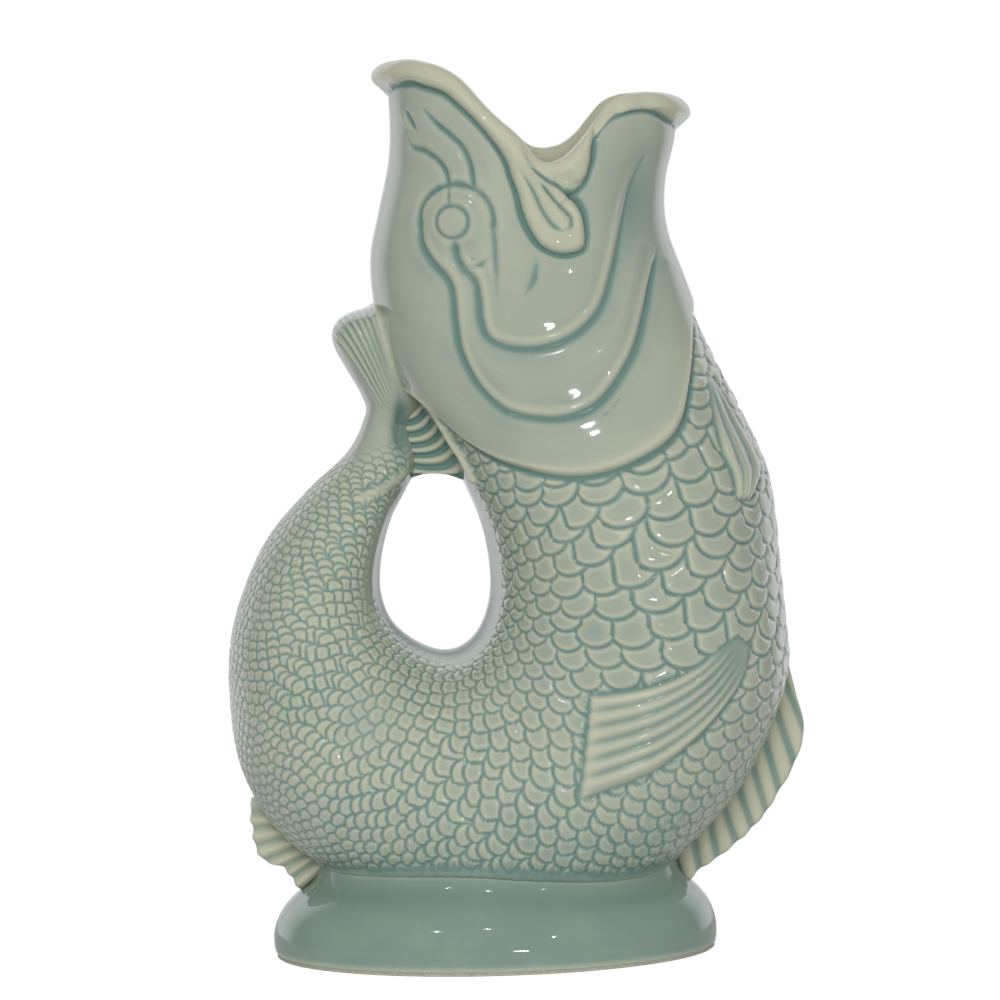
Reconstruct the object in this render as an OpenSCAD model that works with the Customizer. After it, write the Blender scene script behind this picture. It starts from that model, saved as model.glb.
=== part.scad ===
// Gurgle jug: a hollow fish of glazed ceramic that stands on an oval foot.
// The mouth opens upward and is the spout, and the hollow tail curls up behind as the handle.
// Origin at the centre of the foot's underside, +Z up, +X towards the fish's throat and belly.
// The body is a row of flat sections from the mouth, round the belly, to the end of the tail.
// Each section is known by its station, and a place on its edge by its angle from the fish's back.

/* [Jug] */
// Height from the table to the tip of the upper jaw
jug_h = 250; // [210:1:290]
// Width of the fish, from the tail's bend to the chest
fish_w = 156; // [130:1:180]
// Depth of the fish across its belly
fish_d = 93; // [80:1:106]
// Thickness of the ceramic wall
wall_t = 4; // [3:0.25:5]

/* [Foot] */
// Length of the foot along the fish
foot_l = 124; // [112:1:136]
// Depth of the foot
foot_d = 92; // [82:1:100]
// Length of the foot's neck, where the fish stands on it
neck_l = 100; // [90:1:108]
// Depth of the foot's neck
neck_d = 74; // [66:1:78]
// Height of the fish's underside above the table
belly_z = 12; // [8:1:18]
// Height of the dry ring that touches the table
ring_h = 1; // [0.6:0.1:2]
// Width of the dry ring
ring_w = 6; // [4:0.5:9]

/* [Lips] */
// How far the rolled lips stand out from the skin
lip_t = 2.2; // [1:0.1:3.5]
// How far the rounded rim rises above the edge of the wall
rim_round = 1.6; // [0.8:0.1:2.4]

/* [Eyes] */
// Diameter of the eye socket
eye_d = 21; // [15:0.5:25]
// Diameter of the pupil
pupil_d = 9; // [6:0.5:12]
// Height of the eye over the skin
eye_t = 1.6; // [1:0.1:2.5]

/* [Gill covers] */
// Thickness of the gill cover's edge over the scales
gill_t = 1.8; // [1:0.1:3]

/* [Fins] */
// Thickness of the pectoral fins' ribs
pectoral_t = 2.2; // [1.2:0.1:3]
// Depth of the grooves between the ribs of the flank fins
groove_t = 0.9; // [0.3:0.1:1]
// Thickness of the pelvic fins' ribs
pelvic_t = 1.8; // [1.2:0.1:3]
// Thickness of the belly, tail-side and back fins at the root
fin_root_t = 8; // [6:0.5:11]
// Thickness of those fins at the outer edge
fin_edge_t = 3.6; // [2.5:0.1:5]
// Depth of those fins' pleats
pleat_t = 0.7; // [0.2:0.1:1]

/* [Hidden] */

// Clearance under a relief that lies on the skin
seat_gap = 0.3;
// Points round a section, and steps of the searches
round_n = 40;
search_n = 20;
// Small steps along and round the body for the direction of the skin
probe_share = 0.02;
probe_a = 1;
// Bluntness of the sections: 2 is an ellipse
blunt = 2.2;
fish_h = jug_h - belly_z;

// Stations: x and height of the fish's back, x and height of its front, and half its depth,
// as shares of the fish's width, height and depth
body_shares = [
    [-0.158, 0.993, 0.361, 0.948, 0.310], [-0.150, 0.932, 0.352, 0.898, 0.325],
    [-0.154, 0.879, 0.336, 0.853, 0.340], [-0.174, 0.820, 0.334, 0.804, 0.360],
    [-0.190, 0.770, 0.353, 0.749, 0.380], [-0.187, 0.716, 0.378, 0.692, 0.400],
    [-0.167, 0.658, 0.420, 0.631, 0.415], [-0.128, 0.609, 0.465, 0.570, 0.430],
    [-0.068, 0.553, 0.502, 0.513, 0.450], [-0.036, 0.502, 0.516, 0.458, 0.468],
    [-0.009, 0.457, 0.522, 0.402, 0.484], [0.004, 0.415, 0.530, 0.340, 0.495],
    [0.006, 0.377, 0.534, 0.283, 0.500], [-0.004, 0.346, 0.509, 0.222, 0.500],
    [-0.024, 0.322, 0.432, 0.129, 0.498], [-0.052, 0.308, 0.281, 0.037, 0.489],
    [-0.082, 0.305, 0.105, 0.000, 0.478], [-0.112, 0.311, -0.069, 0.004, 0.462],
    [-0.142, 0.323, -0.233, 0.036, 0.441], [-0.167, 0.339, -0.368, 0.090, 0.414],
    [-0.182, 0.358, -0.443, 0.170, 0.376], [-0.190, 0.385, -0.463, 0.262, 0.323],
    [-0.185, 0.422, -0.452, 0.344, 0.280], [-0.167, 0.463, -0.397, 0.433, 0.226],
    [-0.141, 0.495, -0.319, 0.494, 0.177], [-0.120, 0.526, -0.245, 0.539, 0.129],
    [-0.126, 0.571, -0.209, 0.584, 0.097]
];
stations = sized(body_shares);
// Stations where one piece of the body ends and the next begins, counted in rows of the table
head_end_n = 7;
chest_end_n = 12.5;
belly_end_n = 19;
tail_end_n = 26;
// Station at which the hollow of the tail ends
hollow_end_n = 24.6;
// Stations between which the underside and the back of the head are searched
underside_shares = [13.5, 20.5];
head_back_shares = [3, 9.5];

// Fan of the tail, from the end of the tail up, in the same shares
fan_shares = [
    [-0.126, 0.571, -0.209, 0.584, 0.097], [-0.101, 0.603, -0.215, 0.608, 0.124],
    [-0.090, 0.631, -0.239, 0.637, 0.151], [-0.085, 0.662, -0.259, 0.662, 0.172],
    [-0.084, 0.688, -0.264, 0.681, 0.181], [-0.096, 0.703, -0.251, 0.697, 0.175],
    [-0.114, 0.714, -0.226, 0.709, 0.145]
];
fan_stations = sized(fan_shares);

// Station of the rim at nine even steps from the back to the front
rim_shares = [0.15, 0, 0.05, 0.4, 1.25, 1.75, 0.75, 0.35, 0.25, 0.35];
// Station of the lips' lower edge at the same steps
lip_edge_shares = [0.55, 0.4, 0.45, 0.85, 1.7, 3.5, 1.15, 0.75, 0.65, 0.75];
rim_n = 9;
// Steps round the section from the back to the corner where the lips meet
corner_n = 12;

// Profile of the foot, from its underside up: spread over the neck and height
foot_shares = [
    [0.96, 0], [1, 0.14], [1, 0.36], [0.93, 0.58], [0.76, 0.76], [0.5, 0.88], [0.22, 0.95]
];
// Centre of the neck
neck_x_share = 0.01;
neck_x = neck_x_share * foot_l;

// Gill cover: station and angle of its upper edge, and of its lower edge, from the back to the throat
gill_top_shares = [
    [6.1, 28], [6.3, 42], [6.6, 60], [7, 74], [6.8, 92], [6.2, 105], [5.4, 121], [4.6, 136], [3.4, 155]
];
gill_low_shares = [
    [7.3, 27], [7.8, 38], [8, 50], [8.2, 68], [8.1, 87], [7.7, 104], [6.9, 125], [6.1, 140], [4.2, 159]
];
// Eye: station and angle of its centre
eye_place_shares = [2.9, 61];
// Pectoral fin: station and angle of its upper and lower edge, from the root out
pectoral_top_shares = [[11.4, 122], [12.1, 111], [12.5, 102], [12.9, 93], [13.5, 77]];
pectoral_low_shares = [[11.8, 132], [12.9, 126], [13.6, 118], [14.2, 109], [14.9, 99]];
pectoral_ribs = 5;
// Pelvic fin: station and angle of its rear and front edge, from the throat down
pelvic_rear_shares = [[6.2, 152], [6.8, 144], [7.4, 138], [7.9, 138], [8.4, 140]];
pelvic_front_shares = [[6.2, 157], [6.9, 161], [7.5, 161], [8, 158], [8.5, 147]];
pelvic_ribs = 3;
// Belly fin: how many stations its root is past the foot's neck, and how far its edge stands out
// as a share of the fish's width
belly_fin_shares = [
    [0.17, 0.055], [0.57, 0.065], [0.92, 0.07], [1.27, 0.07], [1.62, 0.06], [1.97, 0.05], [2.32, 0.03],
    [2.67, 0.01]
];
belly_fin_pleats = 9;
// Anal fin in the same way
anal_fin_shares = [
    [1.13, 0.01], [0.9, 0.03], [0.74, 0.05], [0.58, 0.06], [0.42, 0.054], [0.28, 0.036], [0.18, 0.015]
];
anal_fin_pleats = 4;
// Back fin: station of its root on the back, and station of the tail that it reaches
back_fin_shares = [[7.7, 26], [8.1, 25.6], [8.6, 25.1], [9, 24.7]];
back_fin_pleats = 4;
// Rows of a fin to each pleat
pleat_n = 4;

// Table of shares turned into sizes
function sized(rows) = [
    for (r = rows)
        [r[0] * fish_w, belly_z + r[1] * fish_h, r[2] * fish_w, belly_z + r[3] * fish_h, r[4] * fish_d]
];

// Smooth curve through the rows of a table
function curve(rows, t) =
    let (
        last = len(rows) - 1,
        i = min(max(floor(t), 0), last - 1),
        u = t - i,
        a = rows[max(i - 1, 0)],
        b = rows[i],
        c = rows[i + 1],
        d = rows[min(i + 2, last)]
    )
    b + u / 2 * ((c - a) + u * ((2 * a - 5 * b + 4 * c - d) + u * (3 * (b - c) + d - a)));

function signed_power(v, p) = sign(v) * pow(abs(v), p);

// Point of a section at an angle from its back, moved in from its edge
function section_point(r, a, depth = 0) =
    let (
        back = [r[0], 0, r[1]],
        front = [r[2], 0, r[3]],
        reach = (front - back) / 2,
        inner = reach * (1 - depth / norm(reach)),
        u = signed_power(cos(a), 2 / blunt),
        v = signed_power(sin(a), 2 / blunt)
    )
    (back + front) / 2 - inner * u - [0, (r[4] - depth) * v, 0];

// Point of the skin, or of the inside of the wall
function skin(t, a, depth = 0) = section_point(curve(stations, t), a, depth);

// Outward direction of the skin
function skin_out(t, a) =
    let (
        along = skin(t + probe_share, a) - skin(t - probe_share, a),
        around = skin(t, a + probe_a) - skin(t, a - probe_a),
        out = cross(along, around)
    )
    out / norm(out);

// Point over the skin
function over(t, a, height) = skin(t, a) + height * skin_out(t, a);

// Ring of points round a section
function angles() = [for (i = [0:round_n - 1]) 360 * i / round_n];
function skin_ring(t, depth = 0) = [for (a = angles()) skin(t, a, depth)];

// Value of a table that has its entries at even steps from the back to the front
function by_angle(table, a) =
    let (turn = abs(a > 180 ? a - 360 : a))
    curve(table, turn / 180 * rim_n);

// Solid between rings of points: a closed loop of rings, or rings with flat or pointed ends
module loft(rings, loop = false, low = undef, high = undef) {
    n = len(rings[0]);
    m = len(rings);
    bands = loop ? m : m - 1;
    body = [for (r = rings) each r];
    poles = [if (!is_undef(low)) low, if (!is_undef(high)) high];
    sides = [
        for (j = [0:bands - 1], i = [0:n - 1])
            let (
                k = (j + 1) % m,
                a = j * n + i,
                b = j * n + (i + 1) % n,
                c = k * n + (i + 1) % n,
                d = k * n + i
            )
            each [[a, b, c], [a, c, d]]
    ];
    low_cap = loop ? [] : is_undef(low)
        ? [[for (i = [n - 1:-1:0]) i]]
        : [for (i = [0:n - 1]) [(i + 1) % n, i, m * n]];
    high_pole = m * n + (is_undef(low) ? 0 : 1);
    high_cap = loop ? [] : is_undef(high)
        ? [[for (i = [0:n - 1]) (m - 1) * n + i]]
        : [for (i = [0:n - 1]) [(m - 1) * n + i, (m - 1) * n + (i + 1) % n, high_pole]];
    polyhedron(concat(body, poles), concat(sides, low_cap, high_cap));
}

// Solid between an upper and a lower grid of points
module slab(upper, lower) {
    half = len(upper[0]);
    m = len(upper);
    n = 2 * half;
    rows = [for (j = [0:m - 1]) concat(upper[j], [for (i = [half - 1:-1:0]) lower[j][i]])];
    sides = [
        for (j = [0:m - 2], i = [0:n - 1])
            let (
                a = j * n + i,
                b = j * n + (i + 1) % n,
                c = (j + 1) * n + (i + 1) % n,
                d = (j + 1) * n + i
            )
            each [[a, b, c], [a, c, d]]
    ];
    low_cap = [for (i = [0:half - 2]) each [[i + 1, i, n - 1 - i], [i + 1, n - 1 - i, n - 2 - i]]];
    end = (m - 1) * n;
    high_cap = [for (t = low_cap) [end + t[1], end + t[0], end + t[2]]];
    polyhedron([for (r = rows) each r], concat(sides, low_cap, high_cap));
}

// Tube of the body between two stations
module tube(from, to, steps) {
    ts = [for (i = [0:steps]) from + (to - from) * i / steps];
    outer = [for (t = ts) skin_ring(t)];
    inner = [for (i = [steps:-1:0]) skin_ring(ts[i], wall_t)];
    loft(concat(outer, inner), loop = true);
}

// Station at which the front edge of the body is over a place, searched between two stations
function front_station(x, lo = underside_shares[0], hi = underside_shares[1], n = search_n) =
    let (t = (lo + hi) / 2)
    n == 0 ? t : curve(stations, t)[2] > x
        ? front_station(x, t, hi, n - 1)
        : front_station(x, lo, t, n - 1);

// Height of the underside of the body over a place
function underside(x, y, lo = underside_shares[0], hi = underside_shares[1], n = search_n) =
    let (
        t = (lo + hi) / 2,
        r = curve(stations, t),
        v = min(abs(y) / r[4], 1),
        u = pow(1 - pow(v, blunt), 1 / blunt),
        mid = (r[0] + r[2]) / 2,
        px = mid + (r[2] - r[0]) / 2 * u,
        pz = (r[1] + r[3]) / 2 + (r[3] - r[1]) / 2 * u
    )
    n == 0 ? pz : px > x ? underside(x, y, t, hi, n - 1) : underside(x, y, lo, t, n - 1);

// Back of the head at a depth and a height
function head_back(y, z, lo = head_back_shares[0], hi = head_back_shares[1], n = search_n) =
    let (
        t = (lo + hi) / 2,
        r = curve(stations, t),
        v = min(abs(y) / r[4], 1),
        u = pow(1 - pow(v, blunt), 1 / blunt),
        px = (r[0] + r[2]) / 2 - (r[2] - r[0]) / 2 * u,
        pz = (r[1] + r[3]) / 2 - (r[3] - r[1]) / 2 * u
    )
    n == 0 ? px : pz > z ? head_back(y, z, t, hi, n - 1) : head_back(y, z, lo, t, n - 1);

// Oval of the foot, from the neck at a spread of 0 to the full foot at 1, moved in by a depth
function foot_point(a, spread, depth = 0) = [
    neck_x * (1 - spread) + (neck_l / 2 + spread * (foot_l - neck_l) / 2 - depth) * cos(a),
    (neck_d / 2 + spread * (foot_d - neck_d) / 2 - depth) * sin(a)
];

// Ring of the foot at a share of the height under the fish
function foot_ring_at(row, depth) = [
    for (a = angles())
        let (
            p = foot_point(a, row[0], depth),
            q = foot_point(a, 0, depth),
            top = underside(q[0], q[1]) - seat_gap
        )
        [p[0], p[1], ring_h + row[1] * (top - ring_h)]
];

module foot_ring() {
    base = foot_shares[0][0];
    color("#cfc9b4")
    linear_extrude(ring_h)
    difference() {
        polygon([for (a = angles()) foot_point(a, base)]);
        polygon([for (a = angles()) foot_point(a, base, ring_w)]);
    }
}

module foot() {
    last = len(foot_shares) - 1;
    inner = [for (row = foot_shares) foot_ring_at(row, ring_w)];
    seat = [for (i = [2:-1:0]) foot_ring_at([0, 1], ring_w * i / 2)];
    outer = [for (i = [last:-1:0]) foot_ring_at(foot_shares[i], 0)];
    color("#7f9588")
    loft(concat(inner, seat, outer), loop = true);
}

module belly_shell() {
    color("#93a592")
    tube(chest_end_n, belly_end_n, 12);
}

module chest_shell() {
    color("#98a996")
    tube(head_end_n, chest_end_n, 10);
}

// The tail is a hollow horn that is closed at its end
module tail_shell() {
    steps = 12;
    inner_steps = 10;
    outer = [for (i = [0:steps]) skin_ring(belly_end_n + (tail_end_n - belly_end_n) * i / steps)];
    inner = [
        for (i = [inner_steps:-1:0])
            skin_ring(belly_end_n + (hollow_end_n - belly_end_n) * i / inner_steps, wall_t)
    ];
    color("#a7b0a1")
    loft(concat(inner, outer));
}

// Fan at the end of the tail, which lies against the back of the head
module tail_fin() {
    steps = 8;
    last = len(fan_stations) - 1;
    rings = [
        for (i = [0:steps])
            [
                for (a = angles())
                    let (p = section_point(curve(fan_stations, last * i / steps), a))
                    [min(p[0], head_back(p[1], p[2]) - seat_gap), p[1], p[2]]
            ]
    ];
    color("#a9aeae")
    loft(rings, high = fan_tip(rings[steps]));
}

// Middle of a ring
function fan_tip(ring) = [for (i = [0:2]) [for (p = ring) 1] * [for (p = ring) p[i]] / len(ring)];

// The head runs from the lips to the chest
module head_shell() {
    steps = 10;
    outer = [for (i = [0:steps]) head_ring(i / steps)];
    inner = [for (i = [steps:-1:0]) head_ring(i / steps, wall_t)];
    color("#9fa997")
    loft(concat(outer, inner), loop = true);
}

function head_ring(s, depth = 0) = [
    for (a = angles())
        let (edge = by_angle(lip_edge_shares, a))
        skin(edge + s * (head_end_n - edge), a, depth)
];

// Section of a lip, from the rim down to its lower edge: the rolled outside, or the inside of the wall
lip_n = 5;
rim_share = 0.3;
function lip_outside(a) =
    let (rim = by_angle(rim_shares, a), edge = by_angle(lip_edge_shares, a), up = rim_way(a))
    concat(
        [skin(rim, a, wall_t * rim_share) + up * rim_round],
        [
            for (i = [0:lip_n])
                over(rim + (edge - rim) * i / lip_n, a, lip_t * sin(180 * (i + 1) / (lip_n + 1)))
        ]
    );
function lip_inside(a) =
    let (rim = by_angle(rim_shares, a), edge = by_angle(lip_edge_shares, a), up = rim_way(a))
    concat(
        [skin(rim, a, wall_t * (1 - rim_share)) + up * rim_round],
        [for (i = [0:lip_n]) skin(rim + (edge - rim) * i / lip_n, a, wall_t)]
    );
// Direction in which the rim points
function rim_way(a) =
    let (rim = by_angle(rim_shares, a), way = skin(rim, a) - skin(rim + probe_share, a))
    way / norm(way);

// Lip between two corners, counted in steps round the section
module lip(from, to) {
    places = [for (i = [from:to]) 360 * i / round_n];
    slab([for (a = places) lip_inside(a)], [for (a = places) lip_outside(a)]);
}

module upper_lip() {
    color("#c0bfa6")
    lip(-corner_n, corner_n);
}

module lower_lip() {
    color("#b9bba3")
    lip(corner_n, round_n - corner_n);
}

// Relief that lies on the skin between two edges: cells along it and across it
module relief(edge_a, edge_b, along_n, across_n, thick, ribs = 0, groove = 0) {
    last = len(edge_a) - 1;
    grid = [
        for (j = [0:along_n])
            let (a = curve(edge_a, last * j / along_n), b = curve(edge_b, last * j / along_n))
            [for (i = [0:across_n]) a + (b - a) * i / across_n]
    ];
    top = [
        for (row = grid)
            [
                for (i = [0:across_n])
                    let (dip = groove * (1 + cos(360 * ribs * i / across_n)) / 2)
                    over(row[i][0], row[i][1], seat_gap + thick - dip)
            ]
    ];
    bottom = [for (row = grid) [for (c = row) over(c[0], c[1], seat_gap)]];
    slab(top, bottom);
}

module gill_cover_right() {
    color("#a1aa98")
    relief(gill_low_shares, gill_top_shares, 18, 4, gill_t);
}

module gill_cover_left() {
    mirror([0, 1, 0])
    gill_cover_right();
}

module pectoral_fin_right() {
    ribs = pectoral_ribs;
    color("#a5af9d")
    relief(pectoral_top_shares, pectoral_low_shares, 8, 4 * ribs, pectoral_t, ribs, groove_t);
}

module pectoral_fin_left() {
    mirror([0, 1, 0])
    pectoral_fin_right();
}

module pelvic_fin_right() {
    color("#a5af9d")
    relief(pelvic_rear_shares, pelvic_front_shares, 8, 4 * pelvic_ribs, pelvic_t, pelvic_ribs, groove_t);
}

module pelvic_fin_left() {
    mirror([0, 1, 0])
    pelvic_fin_right();
}

// Place on the skin at a distance and a turn from the middle of the eye
function eye_spot(radius, turn, height) =
    let (
        t = eye_place_shares[0],
        a = eye_place_shares[1],
        per_t = norm(skin(t + probe_share, a) - skin(t - probe_share, a)) / (2 * probe_share),
        per_a = norm(skin(t, a + probe_a) - skin(t, a - probe_a)) / (2 * probe_a)
    )
    over(t + radius * cos(turn) / per_t, a + radius * sin(turn) / per_a, height);

// Profile of the socket's rim, and of the pupil: share of its own radius and of the eye's height
eye_rim_shares = [[1, 0.3], [0.94, 0.75], [0.85, 0.9], [0.76, 0.8], [0.7, 0.45], [0.56, 0.5]];
pupil_shares = [[1.1, 0.35], [0.9, 0.8], [0.5, 1]];
module eye_right() {
    n = 24;
    pupil = [for (row = pupil_shares) [row[0] * pupil_d / eye_d, row[1]]];
    profile = concat(eye_rim_shares, pupil);
    turns = [for (i = [0:n - 1]) -360 * i / n];
    under = [for (k = [1, 2]) [for (b = turns) eye_spot(eye_d / 4 * k, b, seat_gap)]];
    top = [
        for (row = profile)
            [for (b = turns) eye_spot(eye_d / 2 * row[0], b, seat_gap + eye_t * row[1])]
    ];
    color("#a3ad9b")
    loft(concat(under, top), low = eye_spot(0, 0, seat_gap), high = eye_spot(0, 0, seat_gap + eye_t));
}

module eye_left() {
    mirror([0, 1, 0])
    eye_right();
}

// Upright fin between a line of root points and a line of edge points
module fin(root, edge, pleats) {
    last = len(root) - 1;
    rows = pleats * pleat_n;
    rings = [
        for (i = [0:rows])
            let (
                r = curve(root, last * i / rows),
                e = curve(edge, last * i / rows),
                wave = pleat_t * cos(360 * i / pleat_n),
                thick = [fin_root_t, (fin_root_t + fin_edge_t) / 2, fin_edge_t] / 2 + [0, wave, wave],
                mid = (r + e) / 2
            )
            [
                r + [0, thick[0], 0], mid + [0, thick[1], 0], e + [0, thick[2], 0],
                e - [0, thick[2], 0], mid - [0, thick[1], 0], r - [0, thick[0], 0]
            ]
    ];
    loft(rings);
}

// Fin that stands out from the front edge of the body, past one end of the foot's neck
module front_fin(rows, pleats, side) {
    neck_end = front_station(neck_x + side * neck_l / 2);
    root = [for (r = rows) over(neck_end - side * r[0], 180, seat_gap)];
    edge = [for (r = rows) over(neck_end - side * r[0], 180, seat_gap + r[1] * fish_w)];
    fin(root, edge, pleats);
}

module belly_fin() {
    color("#b3bba8")
    front_fin(belly_fin_shares, belly_fin_pleats, 1);
}

module anal_fin() {
    color("#b3bba8")
    front_fin(anal_fin_shares, anal_fin_pleats, -1);
}

// The back fin fills the space between the back and the tail, over the finger hole
module back_fin() {
    root = [for (r = back_fin_shares) over(r[0], 0, seat_gap)];
    edge = [for (r = back_fin_shares) over(r[1], 0, seat_gap)];
    color("#b3b8aa")
    fin(root, edge, back_fin_pleats);
}

foot_ring();
foot();
belly_shell();
chest_shell();
tail_shell();
tail_fin();
head_shell();
upper_lip();
lower_lip();
gill_cover_left();
gill_cover_right();
eye_left();
eye_right();
back_fin();
belly_fin();
anal_fin();
pectoral_fin_left();
pectoral_fin_right();
pelvic_fin_left();
pelvic_fin_right();
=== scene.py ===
import math

import bpy
import numpy as np
from mathutils import Matrix, Vector
from mathutils.kdtree import KDTree


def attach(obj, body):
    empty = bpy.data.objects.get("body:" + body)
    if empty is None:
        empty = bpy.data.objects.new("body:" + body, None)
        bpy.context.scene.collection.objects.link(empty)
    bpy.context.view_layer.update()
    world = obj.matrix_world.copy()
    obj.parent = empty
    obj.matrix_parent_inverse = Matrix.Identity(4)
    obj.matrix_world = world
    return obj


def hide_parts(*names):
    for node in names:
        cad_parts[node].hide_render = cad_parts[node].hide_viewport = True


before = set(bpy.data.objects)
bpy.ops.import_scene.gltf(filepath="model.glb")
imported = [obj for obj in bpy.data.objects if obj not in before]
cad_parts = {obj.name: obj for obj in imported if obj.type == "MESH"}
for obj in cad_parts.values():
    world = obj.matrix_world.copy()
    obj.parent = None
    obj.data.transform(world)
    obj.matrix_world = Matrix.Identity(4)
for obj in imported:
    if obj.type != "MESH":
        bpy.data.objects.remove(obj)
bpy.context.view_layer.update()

MM = 0.001

# Driving sizes of the jug, as in the part's source, in metres
JUG_H = 250 * MM
FISH_W = 156 * MM
FISH_D = 93 * MM
WALL = 4 * MM
BELLY_Z = 12 * MM
FISH_H = JUG_H - BELLY_Z
BLUNT = 2.2
FOOT_L = 124 * MM
FOOT_D = 92 * MM
NECK_L = 100 * MM
NECK_D = 74 * MM
NECK_X = 1.24 * MM
RING_H = 1 * MM
RING_W = 6 * MM
RING_SPREAD = 0.935
RING_BEVEL = 0.4 * MM
RING_SOFT = 0.3 * MM

# Camera, found by fitting the jug's outline in the photograph
CAMERA_AZIMUTH = math.radians(-1.4)
CAMERA_ELEVATION = math.radians(4.5)
CAMERA_ROLL = math.radians(1.45)
CAMERA_DISTANCE = 1.5
CAMERA_TARGET = Vector((0, 0, 0.125))
PIXEL = 0.2784 * MM
IMAGE_SIDE = 1000
TARGET_PX = (484.6, 505.1)
SENSOR = 0.036
# The backdrop stands behind the jug: how far round it reaches, and how bright the room beyond it is
BACKDROP_EDGE = (0.38, 0.64)
ROOM = 0.3
# Bright sides of the backdrop, and where they fall back to the plain white right behind the jug
SIDES = 1.5
SIDES_EDGE = (0.78, 0.94)
SKY = (0.95, 0.95, 1, 1)
# The floor fades into the background between these distances from the jug
FLOOR_EDGE = (0.12, 0.55)
FLOOR_GLOW = 0.6
# Light of the room on everything but the background
AMBIENT = 0.28
# Lamps: name, place, width, height, watts, and whether the glaze mirrors it
LAMPS = [
    ("key", (-0.25, -2.0, 1.0), 1.0, 1.0, 27, False),
    ("fill", (1.3, -1.3, 0.4), 1.0, 1.0, 2, False),
    ("back", (-0.5, 2.2, 1.4), 1.2, 1.2, 12, False),
    ("spark_left", (-0.62, -1.3, 0.9), 0.035, 0.035, 0.4, True),
    ("spark_middle", (-0.04, -1.35, 1.05), 0.035, 0.035, 0.4, True),
    ("spark_low", (0.26, -1.5, 0.12), 0.13, 0.035, 0.9, True),
    ("spark_right", (0.65, -1.4, 0.72), 0.03, 0.03, 0.22, True),
]

# Colours of the finishes, as display values: where the glaze is thin, of even depth and pooled
CREAM, SCALE_GREEN, TEAL = (192, 195, 173), (165, 175, 159), (108, 138, 129)
PALE, PALE_FLAT, PALE_DEEP = (196, 197, 173), (182, 187, 165), (112, 144, 135)
FOOT_PALE, FOOT_GREEN, FOOT_DEEP = (170, 180, 163), (127, 149, 137), (104, 128, 116)
CLAY = (198, 196, 180)
# How far the depth of the glaze wanders by itself, its gloss, and its gloss at the rim of the hole
GLAZE_WANDER = 0.24
GLAZE_NOISE = 70
GLAZE_ROUGH = 0.07
GLAZE_IOR = 1.56
GLAZE_GLOSS = 0.5
DULL_GLOSS = 0.02
CLAY_GRAIN = 900
CLAY_ROUGH = 0.8
# Relief that changes the glaze's depth in full. Painted shade round the hole, on the back of the tail and
# below these heights; how much deeper the glaze looks beside the foot's neck, and how much paler on the back
# fin's ridge.
POOL_RELIEF = 0.34 * MM
HOLE_SHADE = 0.5
NECK_TONE = 0.8
NECK_TONE_WIDTH = 3.2 * MM
TAIL_HOLE_SHADE = 0.6
LOW_SHADE = 0.4
LOW_SHADE_HEIGHTS = (24 * MM, 62 * MM)
RIDGE_TONE = 0.8
# Bands on the foot: how deep they look, their width and their share of its height. The darker band high on
# the foot, under the fish, is painted shade.
FOOT_BANDS_AND_SHADE = [(0.3, 0.12, 0.78), (-0.5, 0.07, 1), (-1.1, 0.05, 0)]

# Stations of the body: x and height of the back, x and height of the front, and half the depth
BODY_SHARES = [
    [-0.158, 0.993, 0.361, 0.948, 0.310], [-0.150, 0.932, 0.352, 0.898, 0.325],
    [-0.154, 0.879, 0.336, 0.853, 0.340], [-0.174, 0.820, 0.334, 0.804, 0.360],
    [-0.190, 0.770, 0.353, 0.749, 0.380], [-0.187, 0.716, 0.378, 0.692, 0.400],
    [-0.167, 0.658, 0.420, 0.631, 0.415], [-0.128, 0.609, 0.465, 0.570, 0.430],
    [-0.068, 0.553, 0.502, 0.513, 0.450], [-0.036, 0.502, 0.516, 0.458, 0.468],
    [-0.009, 0.457, 0.522, 0.402, 0.484], [0.004, 0.415, 0.530, 0.340, 0.495],
    [0.006, 0.377, 0.534, 0.283, 0.500], [-0.004, 0.346, 0.509, 0.222, 0.500],
    [-0.024, 0.322, 0.432, 0.129, 0.498], [-0.052, 0.308, 0.281, 0.037, 0.489],
    [-0.082, 0.305, 0.105, 0.000, 0.478], [-0.112, 0.311, -0.069, 0.004, 0.462],
    [-0.142, 0.323, -0.233, 0.036, 0.441], [-0.167, 0.339, -0.368, 0.090, 0.414],
    [-0.182, 0.358, -0.443, 0.170, 0.376], [-0.190, 0.385, -0.463, 0.262, 0.323],
    [-0.185, 0.422, -0.452, 0.344, 0.280], [-0.167, 0.463, -0.397, 0.433, 0.226],
    [-0.141, 0.495, -0.319, 0.494, 0.177], [-0.120, 0.526, -0.245, 0.539, 0.129],
    [-0.126, 0.571, -0.209, 0.584, 0.097],
]
# Fan of the tail, from the end of the tail up, in the same shares
FAN_SHARES = [
    [-0.126, 0.571, -0.209, 0.584, 0.097], [-0.101, 0.603, -0.215, 0.608, 0.124],
    [-0.090, 0.631, -0.239, 0.637, 0.151], [-0.085, 0.662, -0.259, 0.662, 0.172],
    [-0.084, 0.688, -0.264, 0.681, 0.181], [-0.096, 0.703, -0.251, 0.697, 0.175],
    [-0.114, 0.714, -0.226, 0.709, 0.145],
]
# Profile of the foot from its underside up: spread over the neck and share of its height
FOOT_SHARES = [
    [0.94, 0.0], [0.98, 0.05], [1.0, 0.14], [0.985, 0.24], [0.92, 0.35], [0.8, 0.47],
    [0.62, 0.58], [0.42, 0.67], [0.22, 0.75], [0.07, 0.84], [-0.02, 0.97], [-0.06, 1.12],
]
# The same shares for its plain inside
FOOT_INSIDE = [(0.9, 0.0), (0.6, 0.5), (0.1, 1.1)]
FOOT_N = 240
FOOT_ROWS = 60
# Station of the rim at nine even steps from the back to the front
RIM_SHARES = [0.34, 0.26, 0.22, 0.47, 1.33, 1.8, 0.7, 0.43, 0.42, 0.5]
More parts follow.
